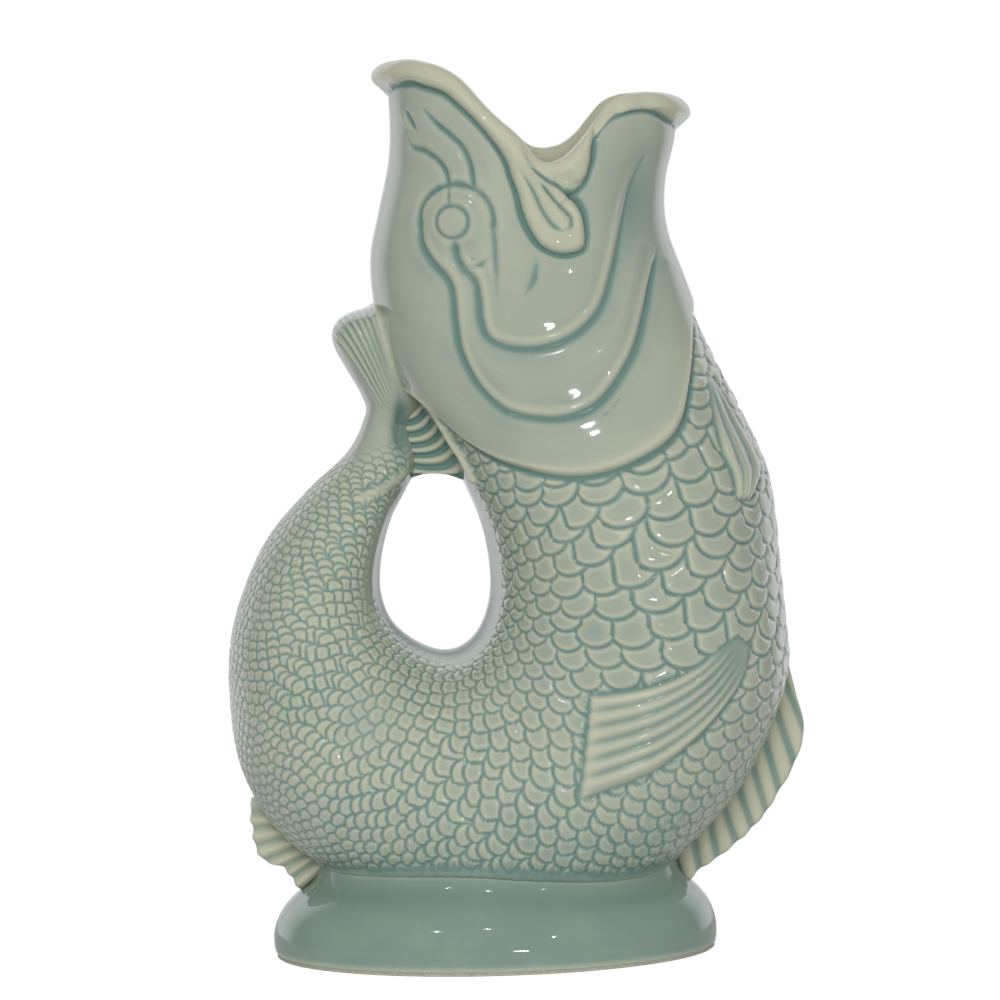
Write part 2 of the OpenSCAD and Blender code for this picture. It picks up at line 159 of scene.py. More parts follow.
# How far the rim rises over the wall and the lips over the skin, and how far the near corner has settled
RIM_RISE = 4 * MM
LIP_RISE = 2.1 * MM
SETTLE = 3.4 * MM
SETTLE_PLACE = (18 * MM, 223 * MM)
SETTLE_REACH = 8 * MM

# Stations where one piece of the body ends and the next begins
HEAD_END = 7
CHEST_END = 12.5
BELLY_END = 19
TAIL_END = 26
HOLLOW_END = 24.6

# Grid of the skin: steps round half a section, and rows of each stretch
HALF_N = 240
RING_N = 2 * HALF_N
INNER_ROWS = 14
CREST_ROWS = 14
HEAD_ROWS = 190
CHEST_ROWS = 160
BELLY_ROWS = 210
TAIL_ROWS = 190
# Hollow pieces below the head: rows of the grid, first and last station, and rings of their inside
TUBES = [
    ("chest_shell", CHEST_ROWS, HEAD_END, CHEST_END, 6),
    ("belly_shell", BELLY_ROWS, CHEST_END, BELLY_END, 8),
    ("tail_shell", TAIL_ROWS, BELLY_END, HOLLOW_END, 8),
]
# Steps of the outside for each one of the tubes' inside
INNER_STEP = 10
# Angle of the mouth's corner, and the gap between a plate and the skin sunk beneath it
CORNER = 96
PLATE_GAP = 0.12 * MM


def sized(rows):
    """Table of shares turned into metres."""
    table = np.array(rows, float)
    table *= [FISH_W, FISH_H, FISH_W, FISH_H, FISH_D]
    table[:, [1, 3]] += BELLY_Z
    return table


STATIONS = sized(BODY_SHARES + FAN_SHARES[1:2])
FAN_STATIONS = sized(BODY_SHARES[-3:-1] + FAN_SHARES)


def curve(rows, t):
    """Smooth curve through the rows of a table, at places t counted in rows."""
    rows = np.asarray(rows, float)
    t = np.asarray(t, float)
    last = len(rows) - 1
    i = np.clip(np.floor(t).astype(int), 0, last - 1)
    u = t - i
    if rows.ndim > 1:
        u = u[..., None]
    a = rows[np.maximum(i - 1, 0)]
    b = rows[i]
    c = rows[i + 1]
    d = rows[np.minimum(i + 2, last)]
    return b + u / 2 * ((c - a) + u * ((2 * a - 5 * b + 4 * c - d) + u * (3 * (b - c) + d - a)))


def signed_power(v, p):
    return np.sign(v) * np.abs(v) ** p


def section_point(rows, t, a, depth=0.0):
    """Point of a section at an angle in degrees from its back, moved in from its edge."""
    flat = depth[..., 0] if isinstance(depth, np.ndarray) else depth
    r = curve(rows, t)
    back = r[..., 0:2]
    front = r[..., 2:4]
    reach = (front - back) / 2
    length = np.linalg.norm(reach, axis=-1, keepdims=True)
    turn = np.radians(a)
    u = signed_power(np.cos(turn), 2 / BLUNT)[..., None]
    v = signed_power(np.sin(turn), 2 / BLUNT)
    xz = (back + front) / 2 - reach * (1 - depth / length) * u
    y = -(r[..., 4] - flat) * v
    return np.stack([xz[..., 0], y, xz[..., 1]], axis=-1)


def skin(t, a, depth=0.0):
    t, a = np.broadcast_arrays(np.asarray(t, float), np.asarray(a, float))
    return section_point(STATIONS, t, a, depth)


def unit(v):
    return v / np.maximum(np.linalg.norm(v, axis=-1, keepdims=True), 1e-12)


def skin_along(t, a):
    """Change of the skin's point for each station."""
    return (skin(t + 0.02, a) - skin(t - 0.02, a)) / 0.04


def skin_around(t, a):
    """Change of the skin's point for each degree."""
    return skin(t, a + 0.5) - skin(t, a - 0.5)


def skin_out(t, a):
    return unit(np.cross(skin_along(t, a), skin_around(t, a)))


def rim_station(a):
    """Station of the rim at an angle from the back."""
    return curve(RIM_SHARES, np.abs(a) / 180 * (len(RIM_SHARES) - 1))


def steps(low, high, x):
    """Smooth step from 0 at low to 1 at high."""
    u = np.clip((x - low) / (high - low), 0, 1)
    return u * u * (3 - 2 * u)


def bell(x, width, centre=0):
    """Bell curve, 1 at its centre."""
    return np.exp(-(((x - centre) / width) ** 2))


def spot(points, centre, reach):
    """Round or oval spot over 2-D points, 1 at its centre."""
    return np.exp(-(((points - np.array(centre)) / np.array(reach)) ** 2).sum(axis=-1))


def quarter_round(u, power=2):
    """Rounded end of a shape, from 1 where u is 0 to 0 where u is 1."""
    return np.sqrt(1 - np.clip(u, 0, 1) ** power)


def cross(a, b):
    """Cross product of 2-D vectors."""
    return a[:, 0] * b[:, 1] - a[:, 1] * b[:, 0]


def in_space(points):
    """2-D points with a third coordinate of 0."""
    return np.pad(points, [(0, 0)] * (points.ndim - 1) + [(0, 1)])


def make_tree(points):
    """Search tree over 3-D points."""
    tree = KDTree(len(points))
    for i, p in enumerate(points):
        tree.insert(p, i)
    tree.balance()
    return tree


def camera_axes():
    """Unit vectors to the right, up and back of the camera."""
    ca, sa = math.cos(CAMERA_AZIMUTH), math.sin(CAMERA_AZIMUTH)
    ce, se = math.cos(CAMERA_ELEVATION), math.sin(CAMERA_ELEVATION)
    back = Vector((sa * ce, -ca * ce, se))
    level = Vector((ca, sa, 0))
    up = back.cross(level)
    cr, sr = math.cos(CAMERA_ROLL), math.sin(CAMERA_ROLL)
    return level * cr - up * sr, level * sr + up * cr, back


def to_pixels(points):
    """Where points of the near side show in the photograph's frame."""
    right, up, back = (np.array(v) for v in camera_axes())
    d = points - np.array(CAMERA_TARGET)
    scale = CAMERA_DISTANCE / (CAMERA_DISTANCE - d @ back) / PIXEL
    return np.stack([TARGET_PX[0] + (d @ right) * scale, TARGET_PX[1] - (d @ up) * scale], axis=-1)


def smooth_line(points, per_step=6):
    """Smooth curve through given points."""
    points = np.asarray(points, float)
    n = (len(points) - 1) * per_step
    return curve(points, np.linspace(0, len(points) - 1, n + 1))


def line_distance(points, line, reach):
    """Distance of points from a line, up to a reach, and share of the line's length there."""
    out = np.full(len(points), reach)
    share = np.zeros(len(points))
    low = line.min(axis=0) - reach
    high = line.max(axis=0) + reach
    near = np.flatnonzero(((points > low) & (points < high)).all(axis=1))
    p = points[near]
    best = np.full(len(near), reach * reach)
    at = np.zeros(len(near))
    for i, (a, b) in enumerate(zip(line[:-1], line[1:])):
        ab = b - a
        u = np.clip((p - a) @ ab / max(ab @ ab, 1e-18), 0, 1)
        gap = p - a - u[:, None] * ab
        gap = (gap * gap).sum(axis=1)
        at = np.where(gap < best, (i + u) / (len(line) - 1), at)
        best = np.minimum(best, gap)
    out[near] = np.sqrt(best)
    share[near] = at
    return out, share


def inside(points, polygon):
    """True for each 2-D point inside a closed polygon."""
    x, y = points[..., 0], points[..., 1]
    found = np.zeros(x.shape, bool)
    for (xa, ya), (xb, yb) in zip(polygon, np.roll(polygon, -1, axis=0)):
        crosses = (ya > y) != (yb > y)
        at = (xb - xa) * (y - ya) / (yb - ya if yb != ya else 1e-9) + xa
        found ^= crosses & (x < at)
    return found


# Lines of the head in the photograph, as pixels of its 1000 x 1000 frame
OUTER_GROOVE_PX = [
    (418, 222), (420, 243), (430, 261), (449, 285), (454, 322), (459, 352), (475, 384), (498, 407),
    (521, 416), (557, 419), (590, 409), (612, 389), (635, 352), (647, 311), (656, 265), (658, 251),
]
INNER_GROOVE_PX = [
    (453, 240), (456, 256), (462, 267), (474, 281), (478, 300), (480, 320), (486, 336), (500, 345),
    (522, 349), (546, 347), (568, 339), (588, 325), (604, 303), (615, 265), (624, 219), (631, 191),
    (645, 157),
]
GILL_EDGE_PX = [
    (398, 368), (402, 377), (420, 395), (443, 418), (470, 442), (498, 460), (532, 471), (567, 477),
    (601, 474), (635, 462), (665, 444), (681, 423), (688, 391), (691, 360), (691, 334), (690, 305),
]
UPPER_LIP_GROOVE_PX = [
    (396, 86), (411, 83), (424, 87), (442, 93), (456, 104), (472, 119), (490, 139), (504, 158),
    (510, 175), (516, 192), (521, 212), (528, 229), (539, 245), (553, 253), (567, 255), (581, 251),
    (586, 243), (586, 229), (583, 214), (577, 203), (571, 196),
]
LOWER_LIP_GROOVE_PX = [
    (571, 196), (585, 181), (591, 163), (593, 145), (597, 132), (606, 121), (620, 114), (640, 110),
    (652, 111), (661, 115), (668, 121),
]
LIP_SEAM_PX = [(571, 196), (563, 188), (554, 178)]
# Edge of the upper lip where it laps over the lower one, up over the rim
LAP_PX = [(509, 126), (519, 141), (532, 156), (546, 171), (559, 184), (571, 196)]
# Height of the lower and of the upper lip beside that edge, and depth of the seam, in millimetres
LAP_STEP = (-1.5, 0.5)
LAP_SEAM = 0.6
TEARDROP_LEFT_PX = [(519, 165), (530, 184), (541, 210), (551, 225), (561, 232)]
TEARDROP_RIGHT_PX = [(561, 232), (569, 228), (570, 220), (565, 213), (553, 200), (544, 186), (540, 179)]
BROW_A_PX = [(424, 110), (435, 123), (448, 134), (460, 145), (467, 157), (471, 170), (473, 184)]
BROW_B_PX = [(408, 134), (413, 147), (424, 151), (437, 160), (445, 171), (448, 183)]
NOSTRIL_PX = [(405, 109), (410, 120), (417, 131)]
CREASE_A_PX = [(466, 267), (480, 265), (491, 256)]
CREASE_B_PX = [(493, 226), (495, 253), (497, 297)]
CREASE_C_PX = [(537, 258), (534, 279), (525, 295)]
EYE_STEM_PX = [(449, 207), (448, 186)]
EYE_CENTRE_PX = (452, 222)
PUPIL_R_PX = 16
SOCKET_CENTRE_PX = (455.5, 222)
SOCKET_R_PX = 38
# Pale spot between the eye and the mouth, in the colour only, hollow at the head's rear with painted shade in
# it, and their reach across and down
PALE_SPOT_PX = (500, 195)
PALE_SPOT_REACH_PX = (20, 60)
CHEEK_PX = (640, 200)
CHEEK_REACH_PX = (20, 48)


def circle_px(centre, radius, start=0, end=360):
    """Points of an arc in the photograph's frame."""
    turns = np.radians(np.linspace(start, end, 25))
    return np.stack([centre[0] + radius * np.cos(turns), centre[1] + radius * np.sin(turns)], axis=-1)


# Grooves of the head: line, depth and half width in millimetres, depth and half width of the hollow about it,
# and the shares of its length over which its two ends thin out
GROOVES = [
    (OUTER_GROOVE_PX, 0.62, 1.05, 1.1, 5.5, (0, 0.12)),
    (INNER_GROOVE_PX, 0.55, 1.05, 1.1, 5, (0.04, 0.3)),
    (BROW_A_PX, 0.75, 0.85, 0.5, 3.5, (0.25, 0)),
    (BROW_B_PX, 0.7, 0.8, 0.4, 3.5, (0.4, 0)),
    (NOSTRIL_PX, 0.9, 0.8, 0.2, 2, (0.4, 0.5)),
    (CREASE_A_PX, 0.45, 0.7, 0.3, 2.5, (0.2, 0.5)),
    (CREASE_B_PX, 0.4, 0.8, 0.5, 3.5, (0, 0.5)),
    (CREASE_C_PX, 0.35, 0.8, 0.3, 3, (0.5, 0.5)),
    (circle_px(SOCKET_CENTRE_PX, SOCKET_R_PX, 180, 365), 0.7, 0.85, 0.4, 3, (0, 0)),
    (circle_px(EYE_CENTRE_PX, PUPIL_R_PX), 0.6, 0.65, 0, 2, (0, 0)),
    (EYE_STEM_PX, 0.4, 0.6, 0, 2, (0, 0)),
]
TEARDROP_GROOVES = [
    (TEARDROP_LEFT_PX, 0.55, 0.75, 0.3, 2.2, (0.3, 0.2)),
    (TEARDROP_RIGHT_PX, 0.7, 0.75, 0.3, 2.2, (0.3, 0.2)),
]

# Pectoral fin in the photograph: upper and lower edge from the root out
PECTORAL_TOP_PX = [(738, 634), (722, 645), (703, 661), (678, 675), (647, 686), (613, 692), (589, 694)]
PECTORAL_LOW_PX = [
    (752, 646), (745, 678), (727, 707), (703, 734), (674, 759), (647, 776), (603, 793), (578, 801),
]
# Pelvic fin: rear and front edge from the throat down
PELVIC_REAR_PX = [(705, 376), (712, 418), (720, 451), (730, 472), (736, 500)]
PELVIC_FRONT_PX = [(714, 376), (735, 415), (757, 460), (759, 478), (750, 502)]
# Flank fins: their edges, first and last station, ribs, thickness and depth of the grooves
FLANK_FINS = {
    "pectoral_fin": (PECTORAL_TOP_PX, PECTORAL_LOW_PX, 10.8, 15.4, 6.4, 1.6 * MM, 0.75 * MM),
    "pelvic_fin": (PELVIC_REAR_PX, PELVIC_FRONT_PX, 5.6, 9, 3, 1.5 * MM, 0.6 * MM),
}
# Thickness of the plates that come in pairs
PLATES = {"gill_cover": 1 * MM, "eye": 1 * MM, "pectoral_fin": 1.2 * MM, "pelvic_fin": 1 * MM}
FIN_N = 240
# Ridge beside the back fin, fold on the hollow side of the tail, and a worn spot of the scales
BACK_RIDGE_PX = [(401, 381), (420, 393), (433, 405), (443, 421), (455, 441), (466, 458), (475, 478)]
BACK_RIDGE_RISE = 2.2 * MM
BACK_RIDGE_WIDTH = 1.6 * MM
TAIL_RIDGE_PX = [(352, 502), (366, 496), (384, 488), (399, 478), (412, 467)]
TAIL_CREASE_PX = [(346, 496), (362, 490), (380, 482), (396, 472), (410, 462)]
WORN_PX = (367, 720)
WORN_R_PX = 32
# Fins in the mid plane: pleat by pleat, where each starts on the body and where it ends
BELLY_ROOT_PX = [
    (784, 652), (785, 667), (784, 681), (776, 711), (766, 747), (754, 772), (740, 793), (726, 814),
    (711, 830), (695, 848), (676, 862),
]
BELLY_EDGE_PX = [
    (787, 658), (796, 694), (804, 728), (794, 763), (779, 790), (766, 811), (752, 827), (736, 842),
    (717, 857), (699, 869), (685, 885),
]
BELLY_PLEATS = [0, 0.5, 1, 2, 3, 4, 5, 6, 7, 8, 9]
ANAL_ROOT_PX = [
    (256, 796), (268, 811), (279, 823), (290, 835), (298, 845), (306, 854), (314, 862), (322, 872),
]
ANAL_EDGE_PX = [
    (253, 797), (251, 811), (253, 826), (256, 845), (265, 860), (284, 867), (293, 878), (301, 890),
]
ANAL_PLEATS = [0.5, 1, 1.9, 3, 4, 5, 6, 7]
BACK_ROOT_PX = [(396, 384), (404, 404), (411, 424), (415, 444), (416, 464), (418, 486)]
BACK_EDGE_PX = [(402, 383), (420, 392), (434, 408), (448, 430), (463, 458), (480, 494)]
BACK_RIBS = 8
# Fan of the tail: its first and last rib from the root out
FAN_LEFT_PX = [(402, 446), (390, 420), (378, 402), (364, 380), (348, 356), (328, 330)]
FAN_RIGHT_PX = [(412, 440), (405, 412), (398, 386), (389, 354), (380, 324), (372, 294)]
FAN_RIBS = 7.5
# Ribs closer than this to each other in the photograph run together
RIB_CLOSE_PX = (1.2, 2.9)
# Hollow at the root of the fan, with painted shade in it
ROOT_HOLLOW_PX = (402, 427)
ROOT_HOLLOW_REACH_PX = (9, 26)
ROOT_HOLLOW_DEPTH = 1.5 * MM
FAN_ROWS = 120
FAN_RIB_RISE = 0.45 * MM
FAN_RIDGE_RISE = 1.3 * MM
FAN_RIDGE_WIDTH = 1.5 * MM

# Width of a scale in millimetres by station, at the angles of the second table
SCALE_STATIONS = [6, 11, 12.5, 13.5, 15, 17, 19, 22, 26.5]
SCALE_ANGLES = [0, 12, 40, 65, 95, 130, 180]
SCALE_WIDTHS = [
    [3.4, 3.8, 7.4, 11.0, 14.6, 11.6, 10.0],
    [3.4, 3.8, 7.4, 11.0, 14.6, 11.2, 9.4],
    [3.5, 3.8, 6.6, 9.4, 12.8, 10.0, 8.0],
    [3.4, 3.7, 6.0, 7.8, 9.4, 8.2, 7.0],
    [3.4, 3.7, 5.9, 7.4, 8.2, 7.2, 6.0],
    [3.3, 3.7, 5.7, 6.6, 6.8, 5.9, 5.2],
    [3.3, 3.7, 5.2, 5.7, 5.6, 5.0, 4.6],
    [3.2, 3.5, 4.5, 4.8, 4.8, 4.3, 3.9],
    [2.8, 3.0, 3.6, 3.8, 3.8, 3.5, 3.2],
]
# A row of scales lies this share of a scale's width past the last
ROW_SHARE = 0.45
SCALE_LONG_SHARE = 0.47
SCALE_WIDE_SHARE = 1.08
# Scales that are tried for each point of the skin, and the most that are laid
NEAR_SCALES = 10
MOST_SCALES = 6000


def make_grid():
    """Stations of the skin's grid on the near half, from the rim to the end of the tail."""
    a = np.linspace(0, 180, HALF_N + 1)
    rim = rim_station(a)
    head = rim + (HEAD_END - rim) * np.linspace(0, 1, HEAD_ROWS + 1)[:, None]
    below = np.concatenate([
        np.linspace(HEAD_END, CHEST_END, CHEST_ROWS + 1)[1:],
        np.linspace(CHEST_END, BELLY_END, BELLY_ROWS + 1)[1:],
        np.linspace(BELLY_END, TAIL_END, TAIL_ROWS + 1)[1:],
    ])
    return np.concatenate([head, np.repeat(below[:, None], HALF_N + 1, axis=1)]), a


GRID_T, GRID_A = make_grid()
GRID_AA = np.broadcast_to(GRID_A, GRID_T.shape)
GRID_P = skin(GRID_T, GRID_AA)
GRID_PX = to_pixels(GRID_P)
# Rows that hold the head, its lips and the gill covers. A place's tone is how deep the glaze on it looks,
# with painted shade in some places.
HEAD_PART = slice(0, HEAD_ROWS + CHEST_ROWS)
HEAD_T, HEAD_A, HEAD_PX = GRID_T[HEAD_PART], GRID_AA[HEAD_PART], GRID_PX[HEAD_PART]
ON_HEAD = HEAD_T < 5


def on_skin_at(pixels, low, high):
    """Stations and angles of the near skin that show at pixels of the photograph."""
    pixels = np.asarray(pixels, float)
    coarse = GRID_T[::2, ::2]
    here = (coarse >= low) & (coarse <= high)
    px = GRID_PX[::2, ::2][here]
    nearest = [int(np.argmin(((px - p) ** 2).sum(axis=1))) for p in pixels]
    t, a = coarse[here][nearest], GRID_AA[::2, ::2][here][nearest]
    for _ in range(4):
        miss = pixels - to_pixels(skin(t, a))
        by_t = (to_pixels(skin(t + 0.01, a)) - to_pixels(skin(t - 0.01, a))) / 0.02
        by_a = to_pixels(skin(t, a + 0.5)) - to_pixels(skin(t, a - 0.5))
        det = cross(by_t, by_a)
        det = np.where(np.abs(det) < 1.5, np.inf, det)
        t += np.clip(cross(miss, by_a) / det, -0.1, 0.1)
        a = np.clip(a + np.clip(cross(by_t, miss) / det, -2, 2), 0, 180)
    return t, a


def on_skin(pixels, low=0.0, high=9.0):
    """Smooth line on the near skin through pixels: its points, stations and angles."""
    t, a = on_skin_at(smooth_line(pixels), low, high)
    return skin(t, a), t, a


def ease(share, first, last=None):
    """Share to which a line is there, thin over its first and its last stretch."""
    return steps(0, first, share) * steps(0, last or first, 1 - share)


def grid_distance(line, reach, rows=slice(None)):
    """Distance of the grid's points from a line on the skin, and share of its length there."""
    points = GRID_P[rows]
    d, share = line_distance(points.reshape(-1, 3), line, reach)
    return d.reshape(points.shape[:2]), share.reshape(points.shape[:2])


def gill_edge():
    """Station of the gill cover's lower edge at each of the grid's angles, and its line."""
    t, a = on_skin(GILL_EDGE_PX, 2.5, 9)[1:]
    order = np.argsort(a)
    edge = np.interp(GRID_A, a[order], t[order])
    for _ in range(6):
        edge[1:-1] = (edge[:-2] + 2 * edge[1:-1] + edge[2:]) / 4
    return edge, skin(edge[::3], GRID_A[::3])


GILL_T, GILL_LINE = gill_edge()
FOOT_TURNS = np.linspace(0, 2 * math.pi, FOOT_N, endpoint=False)


def foot_oval(spread, z, depth=0.0):
    """Oval ring of points of the foot, from its neck at a spread of 0 to its full size at 1."""
    x = NECK_X * (1 - spread) + (NECK_L / 2 + spread * (FOOT_L - NECK_L) / 2 - depth) * np.cos(FOOT_TURNS)
    y = (NECK_D / 2 + spread * (FOOT_D - NECK_D) / 2 - depth) * np.sin(FOOT_TURNS)
    return np.stack([x, y, np.broadcast_to(z, x.shape)], axis=-1)


def underside(ring):
    """Height of the fish's underside over a ring of points, from the nearest points of its skin."""
    points = skin(np.linspace(13, 20.8, 400)[:, None], np.linspace(90, 180, 200)).reshape(-1, 3)
    tree = make_tree(points * [1, -1, 0])
    out = []
    for x, y, _ in ring:
        found = tree.find_n((x, abs(y), 0), 6)
        weights = np.array([1 / (d + 1e-5) for _, _, d in found])
        out.append(weights @ [points[i][2] for _, i, _ in found] / weights.sum())
    return np.array(out)


def neck_line():
    """Height of the fish's underside round the foot's neck, and the near half of that line."""
    neck = foot_oval(0, 0)
    top = underside(neck)
    for _ in range(4):
        top = (np.roll(top, 1) + 2 * top + np.roll(top, -1)) / 4
    neck[:, 2] = top
    near = neck[neck[:, 1] <= 1e-9]
    return top, near[np.argsort(near[:, 0])]


NECK_TOP, NECK_LINE = neck_line()
NECK_D_GRID = np.where(GRID_T > CHEST_END, grid_distance(NECK_LINE, 9 * MM)[0], 9 * MM)


def lip_areas():
    """Outlines of the lips as angles and stations, and the lines of their grooves."""
    t, a = on_skin(UPPER_LIP_GROOVE_PX, 0, 5)[1:]
    upper_groove = [(-9, t[0] + 0.22), (0, t[0] + 0.22), *zip(a, t)]
    t, a = on_skin(LOWER_LIP_GROOVE_PX, 0, 4)[1:]
    lower_groove = [*zip(a, t), (180, t[-1] + 0.25), (189, t[-1] + 0.25)]
    t, a = on_skin(LIP_SEAM_PX, 0, 4)[1:]
    seam = [*zip(a, t), (a[-1], -1)]
    upper = upper_groove + seam + [(-9, -1)]
    lower = lower_groove + [(189, -1)] + seam[::-1]
    lines = [np.array(line) for line in (upper_groove, lower_groove)]
    return np.array(upper), np.array(lower), [skin(line[:, 1], line[:, 0]) for line in lines]


def groove(pixels, depth, half, valley, valley_half, ends):
    """Depth of a rounded groove, thin at its ends, and of the wide soft hollow about it."""
    d, share = grid_distance(on_skin(pixels)[0], 16 * MM, HEAD_PART)
    first = steps(-0.02, ends[0], share) if ends[0] else 1
    last = steps(-0.02, ends[1], 1 - share) if ends[1] else 1
    full = 0.25 + 0.75 * first * last
    cut = bell(d, half * MM * (0.5 + 0.5 * full)) - 0.16 * bell(d, 1.1 * half * MM, 2.6 * half * MM)
    return depth * MM * full * cut, valley * MM * full * np.exp(-((d / (valley_half * MM)) ** 1.6))


def head_lines():
    """Height of the head's grooves, folds and eye over the plain skin, and their tone."""
    narrow, wide = (np.array(part) for part in zip(*(groove(*row) for row in GROOVES)))
    cheek = spot(HEAD_PX, CHEEK_PX, CHEEK_REACH_PX) * ON_HEAD
    height = -narrow.max(axis=0) - 0.7 * np.minimum(narrow, 0).sum(axis=0) - wide.max(axis=0)
    height += 0.7 * MM * spot(HEAD_PX, EYE_CENTRE_PX, PUPIL_R_PX) * ON_HEAD - 1.1 * MM * cheek
    # Painted shade in the hollow at the head's rear, and a pale spot of colour between the eye and the mouth
    tone = 0.25 * cheek - 0.35 * spot(HEAD_PX, PALE_SPOT_PX, PALE_SPOT_REACH_PX) * ON_HEAD
    # The two folds under the eye are steps: pale where the glaze thins on the upper side, painted shade below
    for pixels in (OUTER_GROOVE_PX, INNER_GROOVE_PX):
        d, share = grid_distance(on_skin(pixels)[0], 12 * MM, HEAD_PART)
        above = inside(HEAD_PX, np.array(pixels, float)) & (HEAD_T < 9)
        full = ease(share, 0.12)
        crest = bell(d, 1.1 * MM, 2.2 * MM) * above * full
        height += 0.25 * MM * crest
        tone += 0.35 * bell(d, 3.4 * MM) * ~above * full - 0.5 * crest
    return height, tone


def add_lips(height):
    """Head's height with the lips as rolled bands below the rim, and the lips' masks."""
    upper_area, lower_area, lines = lip_areas()
    flat = np.stack([HEAD_A, HEAD_T], axis=-1)
    upper = inside(flat, upper_area)
    lower = inside(flat, lower_area) & ~upper
    d = np.minimum(*(grid_distance(line, 12 * MM, HEAD_PART)[0] for line in lines))
    ends = 1 - steps(8, 34, HEAD_A) + steps(146, 172, HEAD_A)
    rise = quarter_round(1 - d / (3.4 * MM)) ** 1.3 * (1 - ends) + steps(0, 6.2 * MM, d) * ends
    height = np.where(upper | lower, LIP_RISE * (1 + 0.9 * ends) * rise, height * steps(0, 1.6 * MM, d))
    height -= (1 - 0.85 * ends) * MM * (0.9 * bell(d, 1 * MM) + 0.3 * bell(d, 3 * MM))
    return height - sum(sum(groove(*row)) for row in TEARDROP_GROOVES), upper, lower


def gill_relief():
    """Height of the gill cover's rounded edge, and how far up from that edge points lie."""
    d = grid_distance(GILL_LINE, 20 * MM, HEAD_PART)[0]
    over = np.where(HEAD_T < GILL_T, d, -d)
    height = 1.8 * MM * steps(-0.6 * MM, 2 * MM, over) * bell(d, 15 * MM)
    return height - 0.5 * MM * bell(over, 0.85 * MM, -0.9 * MM), over


def on_grid(part):
    """Values of the head's rows on the whole grid."""
    return np.pad(part, ((0, len(GRID_T) - len(part)), (0, 0)))


def head_relief():
    """Height of the head over the plain skin, masks of its pieces, distance over the gill edge, and tone."""
    height, tone = head_lines()
    height, upper, lower = add_lips(height)
    gill, over = gill_relief()
    t, a = on_skin(OUTER_GROOVE_PX)[1:]
    order = np.argsort(a)
    top = np.interp(GRID_A, a[order], t[order], left=9, right=9)
    socket = ((HEAD_PX - np.array(SOCKET_CENTRE_PX)) ** 2).sum(axis=-1) < (SOCKET_R_PX + 5) ** 2
    masks = {
        "upper_lip": upper, "lower_lip": lower, "eye": socket & ON_HEAD,
        "gill_cover": (over > -0.8 * MM) & (HEAD_T > top + 0.2),
    }
    return on_grid(height + gill), {stem: on_grid(mask) for stem, mask in masks.items()}, over, on_grid(tone)


def fin_coordinates(top_px, low_px, points_px):
    """Shares along and across a ribbed fin at pixels of the photograph, and the fin's outline."""
    u = np.linspace(0, 1, FIN_N + 1)
    top, low = (curve(line, u * (len(line) - 1))[:, None] for line in (top_px, low_px))
    v = u[None, :, None]
    places = top * (1 - v) + low * v
    tree = make_tree(in_space(places.reshape(-1, 2)))
    near = np.array([tree.find(p)[1] for p in in_space(points_px)])
    outline = np.concatenate([places[:, 0], places[-1], places[::-1, -1], places[0, ::-1]])
    return near // (FIN_N + 1) / FIN_N, near % (FIN_N + 1) / FIN_N, outline[::9]


def flank_fin(top_px, low_px, low, high, ribs, thick, cut):
    """Height of a ribbed fin on the flank, its mask and its tone."""
    edge = np.concatenate([smooth_line(top_px), smooth_line(low_px)[::-1]])
    mask = inside(GRID_PX, edge) & (GRID_T > low) & (GRID_T < high)
    u, v = np.zeros((2, *GRID_T.shape))
    u[mask], v[mask], outline = fin_coordinates(top_px, low_px, GRID_PX[mask])
    t, a = on_skin_at(outline, low - 0.5, high + 0.5)
    d, share = grid_distance(skin(t, a), 8 * MM)
    wave = 0.5 + 0.5 * np.cos(2 * math.pi * v * ribs)
    body = thick * (0.04 + 0.96 * steps(0, 0.5, u)) - cut * wave ** 1.6 * steps(0.02, 0.3, u)
    dip = 0.45 * MM * bell(d, 0.75 * MM) * steps(0.05, 0.2, np.minimum(share, 1 - share))
    height = np.where(mask, body * steps(-0.3 * MM, 2 * MM, d) - 0.6 * dip, -dip)
    tone = np.where(mask, 0.45 * steps(0.25, 0.9, 1 - u) - 0.1, 0)
    return blur(height, 2, wrap=False), mask, tone


def root_hollow(px):
    """Weight of the hollow at the root of the fan."""
    return spot(px, ROOT_HOLLOW_PX, ROOT_HOLLOW_REACH_PX)


def fan_ribs(px):
    """Ribs of the fan at pixels of the photograph, from -1 to 1, and the share along them."""
    u, v, _ = fin_coordinates(FAN_LEFT_PX, FAN_RIGHT_PX, px)
    left, right = (curve(line, u * (len(line) - 1)) for line in (FAN_LEFT_PX, FAN_RIGHT_PX))
    ribs = np.where((v > 0.001) & (v < 0.999), -np.cos(2 * math.pi * v * FAN_RIBS), 0)
    return ribs * steps(*RIB_CLOSE_PX, np.linalg.norm(right - left, axis=-1) / FAN_RIBS), u


def place_in(table, x):
    """Entry of a rising table before a value, and the share of the step past it."""
    place = np.clip(np.interp(x, table, np.arange(len(table))), 0, len(table) - 1.001)
    return place.astype(int), place - place.astype(int)


def scale_width(t, a):
    """Width of a scale in metres at a station and an angle."""
    widths = np.array(SCALE_WIDTHS) * MM
    i, u = place_in(SCALE_STATIONS, t)
    j, v = place_in(SCALE_ANGLES, a)
    low, high = (widths[k, j] * (1 - v) + widths[k, j + 1] * v for k in (i, i + 1))
    return low * (1 - u) + high * u


